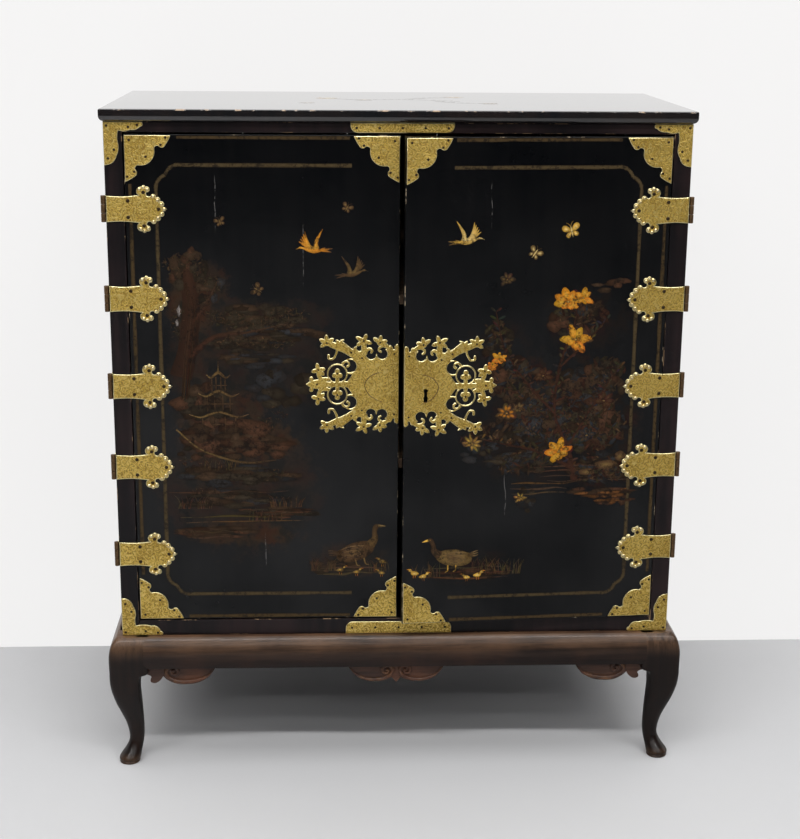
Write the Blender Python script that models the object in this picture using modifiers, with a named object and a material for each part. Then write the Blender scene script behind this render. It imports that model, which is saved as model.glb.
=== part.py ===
"""Black lacquered two-door cabinet with chased brass mounts, on a low stand with cabriole legs.

Units are metres. +Z is up, the front faces -Y, and the origin is on the floor under the middle of the
cabinet's box. The left door is closed and the right door stands a few degrees ajar.
"""
import math

import bmesh
import bpy
from mathutils import Matrix, Vector

# Clearance left between pieces that touch
FIT_GAP = 0.0003

# Case
CASE_WIDTH = 0.950
CASE_DEPTH = 0.450
CASE_HEIGHT = 0.879
SIDE_THICK = 0.030
CARCASS_TOP_THICK = 0.017
CARCASS_BOTTOM_THICK = 0.028
BACK_THICK = 0.012
SHELF_THICK = 0.018
SHELF_HOUSING = 0.008
SHELF_NAMES = ("lower_shelf", "upper_shelf")

# Top board
TOP_THICK = 0.020
TOP_FRONT_OVERHANG = 0.0125
TOP_SIDE_OVERHANG = 0.005
TOP_EDGE_ROUND = 0.009
TOP_EDGE_STEPS = 4

# Doors
DOOR_THICK = 0.020
DOOR_SIDE_GAP = 0.0015
DOOR_TOP_GAP = 0.003
DOOR_BOTTOM_GAP = 0.002
DOOR_STOP_GAP = 0.0008
MEETING_GAP = 0.0055
MEETING_OFFSET = 0.0037
RIGHT_DOOR_AJAR = math.radians(4.0)

# Brass plates
PLATE_THICK = 0.0015
DOOR_PLATE_MARGIN = 0.0015
DOOR_PLATE_ARM = 0.074
DOOR_PLATE_END = 0.004
DOOR_PLATE_LOBE = ((0.068, 0.016), (0.057, 0.0205), (0.0495, 0.0215), (0.045, 0.0185))
DOOR_PLATE_MIDDLE = (0.0415, 0.0415)
CASE_PLATE_MARGIN = 0.0005
CASE_PLATE_UPRIGHT = (0.0245, 0.069)
CASE_PLATE_FOOT_LENGTH = 0.072
CASE_PLATE_FOOT_TOP = 0.0155
CASE_PLATE_FOOT_BOTTOM = 0.020
CASE_PLATE_TIP = 0.006
RAIL_PLATE_TOP = (0.168, 0.0155)
RAIL_PLATE_BOTTOM = (0.184, 0.022)
RAIL_PLATE_TAPER = 0.012

# Hinges, measured from the pin outwards to the strap's tip; the inset is from the door's ends
HINGE_COUNT = 5
HINGE_INSET = 0.1195
HINGE_LIFT = {"left": (0.0, 0.0, 0.0, 0.0075, 0.0), "right": (0.0, 0.0, 0.0, 0.008, 0.008)}
BARREL_RADIUS = 0.004
BARREL_PROUD = 0.0002
PIN_RADIUS = 0.0022
PIN_CLEARANCE = 0.0003
KNUCKLE_CLEARANCE = 0.0006
STRAP_HEIGHT = 0.043
STRAP_TIP = 0.103
STRAP_NECK = (0.057, 0.0225)
STRAP_TREFOIL = (
    ((0.0556, 0.0335), (0.0625, 0.0360)),
    ((0.0658, 0.0386), (0.0690, 0.0360)),
    ((0.0755, 0.0330), (0.0705, 0.0270)),
)
STRAP_NOTCH = ((0.0710, 0.0215), (0.0765, 0.0210))
STRAP_HEAD = (
    ((0.0820, 0.0240), (0.0852, 0.0186)),
    ((0.0915, 0.0175), (0.0915, 0.0120)),
    ((0.0980, 0.0095), (0.0965, 0.0042)),
)
LEAF_LENGTH = 0.052

# Lock plates: distance from the meeting edge and height above the plate's middle, upper half only;
# the lifts are from the door's middle
LOCK_PLATE_LIFT = {"left": 0.003, "right": 0.006}
LOCK_PLATE_BODY = (
    (0.0009, 0.0663), (0.0193, 0.0626), (0.0219, 0.0492), (0.0396, 0.0449), (0.0546, 0.0465),
    (0.0556, 0.0578), (0.0685, 0.0589), (0.0877, 0.0481), (0.0706, 0.0439), (0.069, 0.0235),
    (0.0792, 0.015), (0.0899, 0.0128),
)
LOCK_PLATE_RING = (0.1038, 0.0163, 0.0177, 0.015)
LOCK_PLATE_SCROLL = (0.0808, 0.0321, 0.0139, 0.0107)
LOCK_PLATE_BAR = (0.0856, 0.1412, 0.0071)
LOCK_PLATE_BARS = (
    (0.077, 0.0535, 0.1273, 0.0567, 0.0086),
    (0.1038, 0.000, 0.1038, 0.0139, 0.0034),
    (0.1391, 0.0043, 0.1402, 0.0257, 0.0043),
    (0.061, 0.0514, 0.0615, 0.0706, 0.0091),
    (0.0161, 0.0578, 0.0321, 0.0706, 0.0064),
)
LOCK_PLATE_BEADS = (
    (0.1038, 0.0161, 0.0039), (0.1038, 0.0214, 0.0032), (0.0981, 0.0155, 0.0032), (0.1095, 0.0155, 0.0032),
    (0.1402, 0.0262, 0.0047), (0.1461, 0.0225, 0.0032), (0.135, 0.0219, 0.0032),
    (0.1289, 0.061, 0.0068), (0.1293, 0.0706, 0.0045), (0.1359, 0.0658, 0.0039), (0.122, 0.0679, 0.0039),
    (0.1038, 0.0631, 0.0048),
    (0.0616, 0.0717, 0.0059), (0.0693, 0.0744, 0.0039), (0.0607, 0.0776, 0.0039), (0.0535, 0.0696, 0.0036),
    (0.0325, 0.0706, 0.0066), (0.0244, 0.0754, 0.0039), (0.0375, 0.0776, 0.0039),
)
LOCK_PLATE_HEART = (0.1386, 0.008)
LOCK_PLATE_TIP = (0.1482, 0.0096)
BEAD_SIDES = 8
RING_SIDES = 16
TIP_SIDES = 4

# Lock and bolts
KEYHOLE_INSET = 0.0373
KEYHOLE_DROP = 0.0145
KEYHOLE_RADIUS = 0.0026
KEYHOLE_SLOT = (0.0030, 0.0120)
LOCK_CASE_SIZE = (0.068, 0.014, 0.064)
LOCK_CASE_INSET = 0.003
LOCK_BOLT_SIZE = (0.045, 0.006, 0.014)
LOCK_BOLT_LIFT = 0.016
LOCK_BOLT_RECESS = 0.0005
DOOR_BOLT_RADIUS = 0.004
DOOR_BOLT_LENGTH = 0.150
DOOR_BOLT_INSET = 0.030
DOOR_BOLT_RECESS = 0.001
DOOR_BOLT_TRAVEL = 0.012
DOOR_BOLT_KNOB_RADIUS = 0.0035
DOOR_BOLT_KNOB_DROP = 0.090
DOOR_BOLT_KNOB_REACH = 0.012
BOLT_CLEARANCE = 0.0003
BOLT_HOLE_RADIUS = 0.0050
BOLT_HOLE_DEPTH = 0.011

# Stand
STAND_HEIGHT = 0.240
RAIL_DROP = 0.054
RAIL_THICK = 0.024
RAIL_FACE = 0.008
POST_SIZE = 0.053
POST_DROP = 0.0665
MOULDING_TOP = 0.0105
MOULDING_BELLY = (0.0185, 0.0120)
MOULDING_REACH = (0.0235, 0.0360)
MOULDING_UNDER = (0.0220, 0.0470)
MOULDING_FOOT = 0.0180
APRON_STRIP = 0.059
# Apron ends: distance from the post and depth below the stand's top
APRON_HOOK = (((0.0030, 0.0815), (0.0098, 0.0845)), ((0.0180, 0.0820), (0.0237, 0.0730)))
APRON_MOON = (((0.0400, 0.0835), (0.0620, 0.0865)), ((0.0930, 0.0800), (0.1127, 0.0590)))
# Apron middle: distance from the centre line and depth below the stand's top
APRON_CENTRE = (((0.0700, 0.0760), (0.0380, 0.0870)), ((0.0180, 0.0850), (0.0080, 0.0800)))
APRON_CENTRE_START = 0.084
APRON_TIP = (0.0, 0.0896)

# Cabriole leg: share of the height under the moulding, outward shift on the diagonal, half width, squareness
LEG_SECTIONS = (
    (1.000, -0.0015, 0.0250, 5.0),
    (0.836, -0.0018, 0.0247, 4.5),
    (0.730, -0.0032, 0.0240, 4.0),
    (0.619, -0.0067, 0.0219, 3.5),
    (0.504, -0.0110, 0.0186, 3.0),
    (0.391, -0.0148, 0.0154, 2.6),
    (0.281, -0.0168, 0.0134, 2.3),
    (0.204, -0.0163, 0.0128, 2.1),
    (0.145, -0.0135, 0.0140, 2.0),
    (0.093, -0.0091, 0.0163, 2.0),
    (0.050, -0.0060, 0.0176, 2.0),
    (0.021, -0.0050, 0.0165, 2.0),
    (0.000, -0.0050, 0.0150, 2.0),
)
LEG_SIDES = 16

# Facets
ARC_STEPS = 3
ROD_SIDES = 12
WELD = 0.00001

# Places that follow from the sizes
HALF_WIDTH = CASE_WIDTH / 2
LEG_TOP = STAND_HEIGHT - RAIL_DROP - FIT_GAP
CASE_BOTTOM = STAND_HEIGHT + FIT_GAP
CASE_TOP = CASE_BOTTOM + CASE_HEIGHT
DOOR_BOTTOM = CASE_BOTTOM + CARCASS_BOTTOM_THICK + DOOR_BOTTOM_GAP
DOOR_TOP = CASE_TOP - CARCASS_TOP_THICK - DOOR_TOP_GAP
DOOR_MIDDLE = (DOOR_BOTTOM + DOOR_TOP) / 2
HINGE_PITCH = (DOOR_TOP - DOOR_BOTTOM - 2 * HINGE_INSET) / (HINGE_COUNT - 1)
DOOR_OUTER = HALF_WIDTH - SIDE_THICK - DOOR_SIDE_GAP
FREE_EDGE = {"left": MEETING_OFFSET - MEETING_GAP / 2, "right": MEETING_OFFSET + MEETING_GAP / 2}
LOCK_MIDDLE = {name: DOOR_MIDDLE + lift for name, lift in LOCK_PLATE_LIFT.items()}
PLATE_REACH = BARREL_RADIUS - BARREL_PROUD
PIN_X = HALF_WIDTH + FIT_GAP + PLATE_REACH
PIN_DEPTH = PLATE_REACH - FIT_GAP - PLATE_THICK
DOOR_REACH = ((PIN_X - FREE_EDGE["right"]) * math.sin(RIGHT_DOOR_AJAR)
              + PLATE_REACH * math.cos(RIGHT_DOOR_AJAR) - PIN_DEPTH)
STAND_REACH = max(MOULDING_REACH[0], LEG_SECTIONS[0][1] + LEG_SECTIONS[0][2])
FRONT_Y = (max(DOOR_REACH, STAND_REACH) - STAND_REACH - CASE_DEPTH) / 2
BACK_Y = FRONT_Y + CASE_DEPTH
DOOR_BACK_Y = FRONT_Y + DOOR_THICK

PARTS = bpy.data.collections.new("lacquer_cabinet")
CUTTERS = bpy.data.collections.new("lacquer_cabinet_cutters")


def clear_scene():
    """Empty the file and add the two collections."""
    for item in list(bpy.data.objects):
        bpy.data.objects.remove(item, do_unlink=True)
    for collection in (PARTS, CUTTERS):
        bpy.context.scene.collection.children.link(collection)


def finish(name, colour, roughness, metallic=0.0):
    """A plain Principled material."""
    material = bpy.data.materials.new(name)
    material.use_nodes = True
    shader = material.node_tree.nodes["Principled BSDF"]
    shader.inputs["Base Color"].default_value = (*colour, 1.0)
    shader.inputs["Roughness"].default_value = roughness
    shader.inputs["Metallic"].default_value = metallic
    return material


def pivot(name, location, turn=0.0):
    """An empty on a hinge axis that carries the pieces of one door."""
    empty = bpy.data.objects.new(name, None)
    empty.location = location
    empty.rotation_euler.z = turn
    PARTS.objects.link(empty)
    return empty


def place(name, mesh, location, material=None, carrier=None):
    """Add a mesh as a part, or as a cutter when it has no material."""
    item = bpy.data.objects.new(name, mesh)
    home = Vector(location)
    if carrier:
        item.parent = carrier
        home -= carrier.location
    item.location = home
    if material:
        if not mesh.materials:
            mesh.materials.append(material)
        PARTS.objects.link(item)
    else:
        CUTTERS.objects.link(item)
        item.hide_render = True
        item.display_type = "WIRE"
    return item


def mesh_from(name, bm):
    """Turn a bmesh into a mesh with its faces pointing out."""
    bmesh.ops.recalc_face_normals(bm, faces=bm.faces)
    mesh = bpy.data.meshes.new(name)
    bm.to_mesh(mesh)
    bm.free()
    return mesh


def block(name, low, high, material=None, carrier=None):
    """A box between two corners."""
    size = [upper - lower for lower, upper in zip(low, high)]
    middle = [(upper + lower) / 2 for lower, upper in zip(low, high)]
    bm = bmesh.new()
    bmesh.ops.create_cube(bm, size=1.0)
    bmesh.ops.scale(bm, vec=size, verts=bm.verts)
    return place(name, mesh_from(name, bm), middle, material, carrier)


def rod(name, radius, length, location, along="Z", material=None, carrier=None):
    """A cylinder centred on its location."""
    bm = bmesh.new()
    bmesh.ops.create_cone(
        bm, cap_ends=True, segments=ROD_SIDES, radius1=radius, radius2=radius, depth=length)
    if along == "Y":
        bmesh.ops.rotate(bm, verts=bm.verts, matrix=Matrix.Rotation(math.pi / 2, 3, "X"))
    return place(name, mesh_from(name, bm), location, material, carrier)


def combine(item, operand, operation):
    """Cut a part with a cutter, or join another solid to it."""
    modifier = item.modifiers.new(operand.name, "BOOLEAN")
    modifier.operation = operation
    modifier.object = operand
    modifier.solver = "EXACT"
    modifier.use_self = operation == "UNION"
    return item


def evaluated_mesh(item):
    """A welded mesh of an object, in place, as its curve settings or modifiers make it."""
    graph = bpy.context.evaluated_depsgraph_get()
    shape = item.evaluated_get(graph)
    raw = bpy.data.meshes.new_from_object(shape)
    bm = bmesh.new()
    bm.from_mesh(raw)
    bm.transform(shape.matrix_world)
    bpy.data.meshes.remove(raw)
    bmesh.ops.remove_doubles(bm, verts=bm.verts, dist=WELD)
    return bm


def arc(start, via, end):
    """Points after start on the circle through three points, up to end."""
    (ax, ay), (bx, by), (cx, cy) = start, via, end
    spread = 2 * (ax * (by - cy) + bx * (cy - ay) + cx * (ay - by))
    aa, bb, cc = (x * x + y * y for x, y in (start, via, end))
    ox = (aa * (by - cy) + bb * (cy - ay) + cc * (ay - by)) / spread
    oy = (aa * (cx - bx) + bb * (ax - cx) + cc * (bx - ax)) / spread
    radius = math.hypot(ax - ox, ay - oy)
    begin, between, stop = (math.atan2(y - oy, x - ox) for x, y in (start, via, end))
    sweep = (stop - begin) % math.tau
    if (between - begin) % math.tau > sweep:
        sweep -= math.tau
    angles = [begin + sweep * step / ARC_STEPS for step in range(1, ARC_STEPS + 1)]
    return [(ox + radius * math.cos(angle), oy + radius * math.sin(angle)) for angle in angles]


def trace(start, *runs):
    """A path from start, through plain points and (via, end) arcs."""
    path = [start]
    for run in runs:
        if isinstance(run[0], tuple):
            path += arc(path[-1], *run)
        else:
            path.append(run)
    return path


def mirrored(half):
    """A closed outline from its upper half and the same half turned over."""
    lower = [(across, -up) for across, up in reversed(half) if up != 0.0]
    return half + lower


def sheet(name, outline, thickness):
    """A plate of an outline in the XZ plane, with its thickness along Y."""
    curve = bpy.data.curves.new(name, "CURVE")
    curve.dimensions = "2D"
    curve.fill_mode = "BOTH"
    curve.extrude = thickness / 2
    spline = curve.splines.new("POLY")
    spline.points.add(len(outline) - 1)
    for point, (across, up) in zip(spline.points, outline):
        point.co = (across, up, 0.0, 1.0)
    spline.use_cyclic_u = True
    pattern = bpy.data.objects.new(name, curve)
    bpy.context.scene.collection.objects.link(pattern)
    bm = evaluated_mesh(pattern)
    bpy.data.objects.remove(pattern)
    bmesh.ops.rotate(bm, verts=bm.verts, matrix=Matrix.Rotation(math.pi / 2, 3, "X"))
    return mesh_from(name, bm)


def flipped(outline, side):
    """An outline drawn for the right, turned to the side that it is for."""
    return [(side * across, up) for across, up in outline]


def make_case(lacquer, plain_wood):
    """Sides, carcass boards, back, housed shelves and the moulded top board."""
    inner = HALF_WIDTH - SIDE_THICK
    sides = {}
    for name, side in (("left_side", -1), ("right_side", 1)):
        edges = sorted((side * inner, side * HALF_WIDTH))
        sides[name] = block(name, (edges[0], FRONT_Y, CASE_BOTTOM), (edges[1], BACK_Y, CASE_TOP), lacquer)
    reach = inner - FIT_GAP
    floor_top = CASE_BOTTOM + CARCASS_BOTTOM_THICK
    ceiling = CASE_TOP - CARCASS_TOP_THICK
    block("carcass_bottom", (-reach, FRONT_Y, CASE_BOTTOM), (reach, BACK_Y, floor_top), lacquer)
    carcass_top = block("carcass_top", (-reach, FRONT_Y, ceiling), (reach, BACK_Y, CASE_TOP), lacquer)
    bolt_x = FREE_EDGE["left"] - DOOR_BOLT_INSET
    bolt_y = FRONT_Y + DOOR_THICK / 2
    socket = rod("bolt_socket", BOLT_HOLE_RADIUS, 2 * BOLT_HOLE_DEPTH, (bolt_x, bolt_y, ceiling))
    combine(carcass_top, socket, "DIFFERENCE")

    back_front = BACK_Y - BACK_THICK
    block(
        "back_panel",
        (-reach, back_front, floor_top + FIT_GAP), (reach, BACK_Y, ceiling - FIT_GAP), plain_wood)

    shelf_front = DOOR_BACK_Y + DOOR_STOP_GAP
    shelf_back = back_front - FIT_GAP
    shelf_reach = inner + SHELF_HOUSING - FIT_GAP
    bay = (ceiling - floor_top - len(SHELF_NAMES) * SHELF_THICK) / (len(SHELF_NAMES) + 1)
    for row, name in enumerate(SHELF_NAMES):
        low = floor_top + bay + row * (bay + SHELF_THICK)
        high = low + SHELF_THICK
        block(name, (-shelf_reach, shelf_front, low), (shelf_reach, shelf_back, high), plain_wood)
        housing = block(
            name + "_housing",
            (-inner - SHELF_HOUSING, shelf_front - FIT_GAP, low - FIT_GAP),
            (inner + SHELF_HOUSING, shelf_back + FIT_GAP, high + FIT_GAP))
        for item in sides.values():
            combine(item, housing, "DIFFERENCE")

    top_reach = HALF_WIDTH + TOP_SIDE_OVERHANG
    board_bottom = CASE_TOP + FIT_GAP
    board = block(
        "top_board",
        (-top_reach, FRONT_Y - TOP_FRONT_OVERHANG, board_bottom),
        (top_reach, BACK_Y, board_bottom + TOP_THICK), lacquer)
    round_under_edges(board)


def round_under_edges(board):
    """Round the lower front and side edges of the top board into a half hollow."""
    bm = bmesh.new()
    bm.from_mesh(board.data)
    weight = bm.edges.layers.float.new("bevel_weight_edge")
    for edge in bm.edges:
        middle = (edge.verts[0].co + edge.verts[1].co) / 2
        along_back = middle.y > TOP_THICK and abs(middle.x) < TOP_THICK
        if middle.z < -TOP_THICK / 4 and not along_back:
            edge[weight] = 1.0
    bm.to_mesh(board.data)
    bm.free()
    rounding = board.modifiers.new("rounded_under_edge", "BEVEL")
    rounding.limit_method = "WEIGHT"
    rounding.width = TOP_EDGE_ROUND
    rounding.segments = TOP_EDGE_STEPS


def apron_end(post_face):
    """The hooked bracket and half moon beside a post, from the post inwards."""
    def point(spot):
        return (post_face - spot[0], -spot[1])
    runs = [tuple(point(spot) for spot in run) for run in APRON_HOOK + APRON_MOON]
    return trace((post_face, -POST_DROP), *runs)


def rail_outline(half_length, middle):
    """One rail with an apron at both ends and, in front, a pair of half moons in the middle."""
    half = [(half_length, 0.0)] + apron_end(half_length) + middle
    left = [(-across, up) for across, up in reversed(half) if across != 0.0]
    return half + left


def make_rails(walnut):
    """Front rail with its apron, side rails with bracket ends, and a plain back rail."""
    half_front = HALF_WIDTH + RAIL_FACE - POST_SIZE - FIT_GAP
    half_side = CASE_DEPTH / 2 + RAIL_FACE - POST_SIZE - FIT_GAP
    centre = trace(
        (APRON_CENTRE_START, -APRON_STRIP),
        *[tuple((across, -drop) for across, drop in run) for run in APRON_CENTRE])
    centre.append((APRON_TIP[0], -APRON_TIP[1]))
    sunk = RAIL_THICK / 2 - RAIL_FACE
    middle_y = (FRONT_Y + BACK_Y) / 2
    front = sheet("front_rail", rail_outline(half_front, centre), RAIL_THICK)
    place("front_rail", front, (0.0, FRONT_Y + sunk, STAND_HEIGHT), walnut)
    for name, side in (("left_rail", -1), ("right_rail", 1)):
        mesh = sheet(name, rail_outline(half_side, []), RAIL_THICK)
        item = place(name, mesh, (side * (HALF_WIDTH - sunk), middle_y, STAND_HEIGHT), walnut)
        item.rotation_euler.z = math.pi / 2
    block(
        "back_rail",
        (-half_front, BACK_Y + RAIL_FACE - RAIL_THICK, STAND_HEIGHT - RAIL_DROP),
        (half_front, BACK_Y + RAIL_FACE, STAND_HEIGHT), walnut)


def make_mouldings(walnut):
    """Cushion mouldings round the front and sides, mitred at the front corners."""
    inner = RAIL_FACE + FIT_GAP
    profile = trace(
        (inner, 0.0), (MOULDING_TOP, 0.0),
        ((MOULDING_BELLY[0], -MOULDING_BELLY[1]), (MOULDING_REACH[0], -MOULDING_REACH[1])),
        ((MOULDING_UNDER[0], -MOULDING_UNDER[1]), (MOULDING_FOOT, -RAIL_DROP)),
        (inner, -RAIL_DROP))
    front = sheet("front_moulding", profile, CASE_WIDTH)
    front.transform(Matrix.Rotation(-math.pi / 2, 4, "Z"))
    for vertex in front.vertices:
        vertex.co.x += math.copysign(-vertex.co.y, vertex.co.x)
    place("front_moulding", front, (0.0, FRONT_Y, STAND_HEIGHT), walnut)
    length = CASE_DEPTH + RAIL_FACE
    for name, side in (("left_moulding", -1), ("right_moulding", 1)):
        mesh = sheet(name, flipped(profile, side), length)
        for vertex in mesh.vertices:
            if vertex.co.y < 0.0:
                vertex.co.y += FIT_GAP - abs(vertex.co.x)
        place(name, mesh, (side * HALF_WIDTH, FRONT_Y + length / 2, STAND_HEIGHT), walnut)


def leg_mesh(name, side, end):
    """A cabriole leg: rounded square sections that sweep out along the corner's diagonal."""
    bm = bmesh.new()
    rings = []
    for share, shift, half, squareness in LEG_SECTIONS:
        ring = []
        for step in range(LEG_SIDES):
            angle = math.tau * step / LEG_SIDES
            across, along = math.cos(angle), math.sin(angle)
            across = math.copysign(abs(across) ** (2 / squareness), across)
            along = math.copysign(abs(along) ** (2 / squareness), along)
            spot = (side * (shift + half * across), end * (shift + half * along), share * LEG_TOP)
            ring.append(bm.verts.new(spot))
        rings.append(ring)
    for upper, lower in zip(rings, rings[1:]):
        for step in range(LEG_SIDES):
            after = (step + 1) % LEG_SIDES
            bm.faces.new((upper[step], upper[after], lower[after], lower[step]))
    bm.faces.new(rings[0])
    bm.faces.new(rings[-1])
    return mesh_from(name, bm)


def make_legs(walnut):
    """Four legs, each in one piece with the square post that the rails meet."""
    for end_name, end, corner_y in (("front", -1, FRONT_Y), ("rear", 1, BACK_Y)):
        for side_name, side in (("left", -1), ("right", 1)):
            name = f"{end_name}_{side_name}_leg"
            corner = Vector((side * HALF_WIDTH, corner_y, 0.0))
            leg = place(name, leg_mesh(name, side, end), corner, walnut)
            outer = (corner.x + side * RAIL_FACE, corner.y + end * RAIL_FACE)
            inner = (outer[0] - side * POST_SIZE, outer[1] - end * POST_SIZE)
            low = (min(outer[0], inner[0]), min(outer[1], inner[1]), STAND_HEIGHT - POST_DROP)
            high = (max(outer[0], inner[0]), max(outer[1], inner[1]), STAND_HEIGHT)
            combine(leg, block(name + "_post", low, high), "UNION")


def make_doors(lacquer, pivots):
    """Two flat inset doors, with the bolt's bore on the left and the keyhole on the right."""
    panels = {}
    for name, side in (("left", -1), ("right", 1)):
        edges = sorted((FREE_EDGE[name], side * DOOR_OUTER))
        low = (edges[0], FRONT_Y, DOOR_BOTTOM)
        high = (edges[1], DOOR_BACK_Y, DOOR_TOP)
        panels[name] = block(name + "_door", low, high, lacquer, pivots[name])
    key_spot = (
        FREE_EDGE["right"] + KEYHOLE_INSET, FRONT_Y + DOOR_THICK / 2, LOCK_MIDDLE["right"] - KEYHOLE_DROP)
    for cutter in keyhole("door_keyhole", key_spot, DOOR_THICK, pivots["right"]):
        combine(panels["right"], cutter, "DIFFERENCE")

    bolt_x = FREE_EDGE["left"] - DOOR_BOLT_INSET
    bolt_y = FRONT_Y + DOOR_THICK / 2
    depth = DOOR_BOLT_RECESS + DOOR_BOLT_LENGTH + FIT_GAP
    bore = rod(
        "bolt_bore", DOOR_BOLT_RADIUS + BOLT_CLEARANCE, 2 * depth, (bolt_x, bolt_y, DOOR_TOP),
        carrier=pivots["left"])
    knob_z = DOOR_TOP - DOOR_BOLT_RECESS - DOOR_BOLT_KNOB_DROP
    half_slot = DOOR_BOLT_KNOB_RADIUS + BOLT_CLEARANCE
    slot = block(
        "knob_slot",
        (bolt_x - half_slot, bolt_y, knob_z - half_slot),
        (bolt_x + half_slot, DOOR_BACK_Y + DOOR_THICK, knob_z + half_slot + DOOR_BOLT_TRAVEL),
        carrier=pivots["left"])
    combine(panels["left"], bore, "DIFFERENCE")
    combine(panels["left"], slot, "DIFFERENCE")


def keyhole(name, spot, depth, carrier=None):
    """Cutters for a round hole with a slot below it, through a plate or the door."""
    x, y, z = spot
    width, drop = KEYHOLE_SLOT
    eye = rod(name, KEYHOLE_RADIUS, 2 * depth, spot, "Y", carrier=carrier)
    tail = block(
        name + "_slot", (x - width / 2, y - depth, z - drop), (x + width / 2, y + depth, z), carrier=carrier)
    return [eye, tail]


def strap_outline():
    """A plain strap that opens into two trefoils and a beaded spear head."""
    half = trace((0.0, STRAP_HEIGHT / 2), STRAP_NECK, *STRAP_TREFOIL, *STRAP_NOTCH, *STRAP_HEAD)
    half.append((STRAP_TIP, 0.0))
    return mirrored(half)


def strap_mesh(side):
    """A hinge strap with its two outer knuckles bored for the pin; the pin is at the origin."""
    third = STRAP_HEIGHT / 3
    inward = -side
    strap = place("strap", sheet("strap", flipped(strap_outline(), inward), PLATE_THICK),
                  (0.0, PLATE_THICK / 2 - PLATE_REACH, 0.0))
    knuckles = [rod("knuckle", BARREL_RADIUS, third, (0.0, 0.0, level)) for level in (-third, third)]
    clear = BARREL_RADIUS + KNUCKLE_CLEARANCE
    half_notch = third / 2 + FIT_GAP
    cutters = [
        block("notch", (-clear, -clear, -half_notch), (clear, clear, half_notch)),
        rod("pin_hole", PIN_RADIUS + PIN_CLEARANCE, 2 * STRAP_HEIGHT, (0.0, 0.0, 0.0)),
    ]
    for knuckle in knuckles:
        combine(strap, knuckle, "UNION")
    for cutter in cutters:
        combine(strap, cutter, "DIFFERENCE")
    return baked(strap, knuckles + cutters)


def leaf_mesh(side):
    """A side leaf in one piece with the middle knuckle and the pin; the pin is at the origin."""
    third = STRAP_HEIGHT / 3
    inward = -side
    across = sorted((inward * (PLATE_REACH - PLATE_THICK), inward * PLATE_REACH))
    clear = BARREL_RADIUS + KNUCKLE_CLEARANCE
    leaf = block("leaf", (across[0], clear, -STRAP_HEIGHT / 2), (across[1], LEAF_LENGTH, STRAP_HEIGHT / 2))
    extra = [
        block("tab", (across[0], 0.0, -third / 2), (across[1], 2 * clear, third / 2)),
        rod("knuckle", BARREL_RADIUS, third, (0.0, 0.0, 0.0)),
        rod("pin", PIN_RADIUS, STRAP_HEIGHT, (0.0, 0.0, 0.0)),
    ]
    for solid in extra:
        combine(leaf, solid, "UNION")
    return baked(leaf, extra)


def baked(item, operands):
    """The finished mesh of a piece that is repeated; its makings are removed."""
    mesh = mesh_from(item.name, evaluated_mesh(item))
    for used in [item] + operands:
        bpy.data.objects.remove(used)
    return mesh


def make_hinges(brass, pivots):
    """Five hinges on each side, evenly spaced about the door's middle."""
    for side_name, side in (("left", -1), ("right", 1)):
        strap = strap_mesh(side)
        leaf = leaf_mesh(side)
        for row in range(HINGE_COUNT):
            height = DOOR_TOP - HINGE_INSET - row * HINGE_PITCH + HINGE_LIFT[side_name][row]
            spot = (side * PIN_X, FRONT_Y + PIN_DEPTH, height)
            place(f"{side_name}_hinge_leaf_{row + 1}", leaf, spot, brass)
            place(f"{side_name}_hinge_strap_{row + 1}", strap, spot, brass, pivots[side_name])


def plate_y():
    """Middle of a plate that lies on the front face."""
    return FRONT_Y - FIT_GAP - PLATE_THICK / 2


def make_door_corners(brass, pivots):
    """A three-lobed plate on each corner of each door."""
    arm = [(DOOR_PLATE_ARM, 0.0), (DOOR_PLATE_ARM, DOOR_PLATE_END)]
    via, end, next_via, next_end = DOOR_PLATE_LOBE
    lobe = trace(arm[1], (via, end), (next_via, next_end))
    turned = [(up, across) for across, up in reversed(lobe)]
    crown = arc(next_end, DOOR_PLATE_MIDDLE, turned[0])
    outline = [(0.0, 0.0), arm[0]] + lobe + crown[:-1] + turned + [(0.0, DOOR_PLATE_ARM)]
    for side_name, side in (("left", -1), ("right", 1)):
        for level_name, level, edge_z in (("top", -1, DOOR_TOP), ("bottom", 1, DOOR_BOTTOM)):
            for end_name, way, edge_x in (
                    ("outer", -side, side * DOOR_OUTER), ("inner", side, FREE_EDGE[side_name])):
                name = f"{side_name}_door_corner_{level_name}_{end_name}"
                shape = [(way * across, level * up) for across, up in outline]
                spot = (
                    edge_x + way * DOOR_PLATE_MARGIN, plate_y(), edge_z + level * DOOR_PLATE_MARGIN)
                place(name, sheet(name, shape, PLATE_THICK), spot, brass, pivots[side_name])


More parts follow.
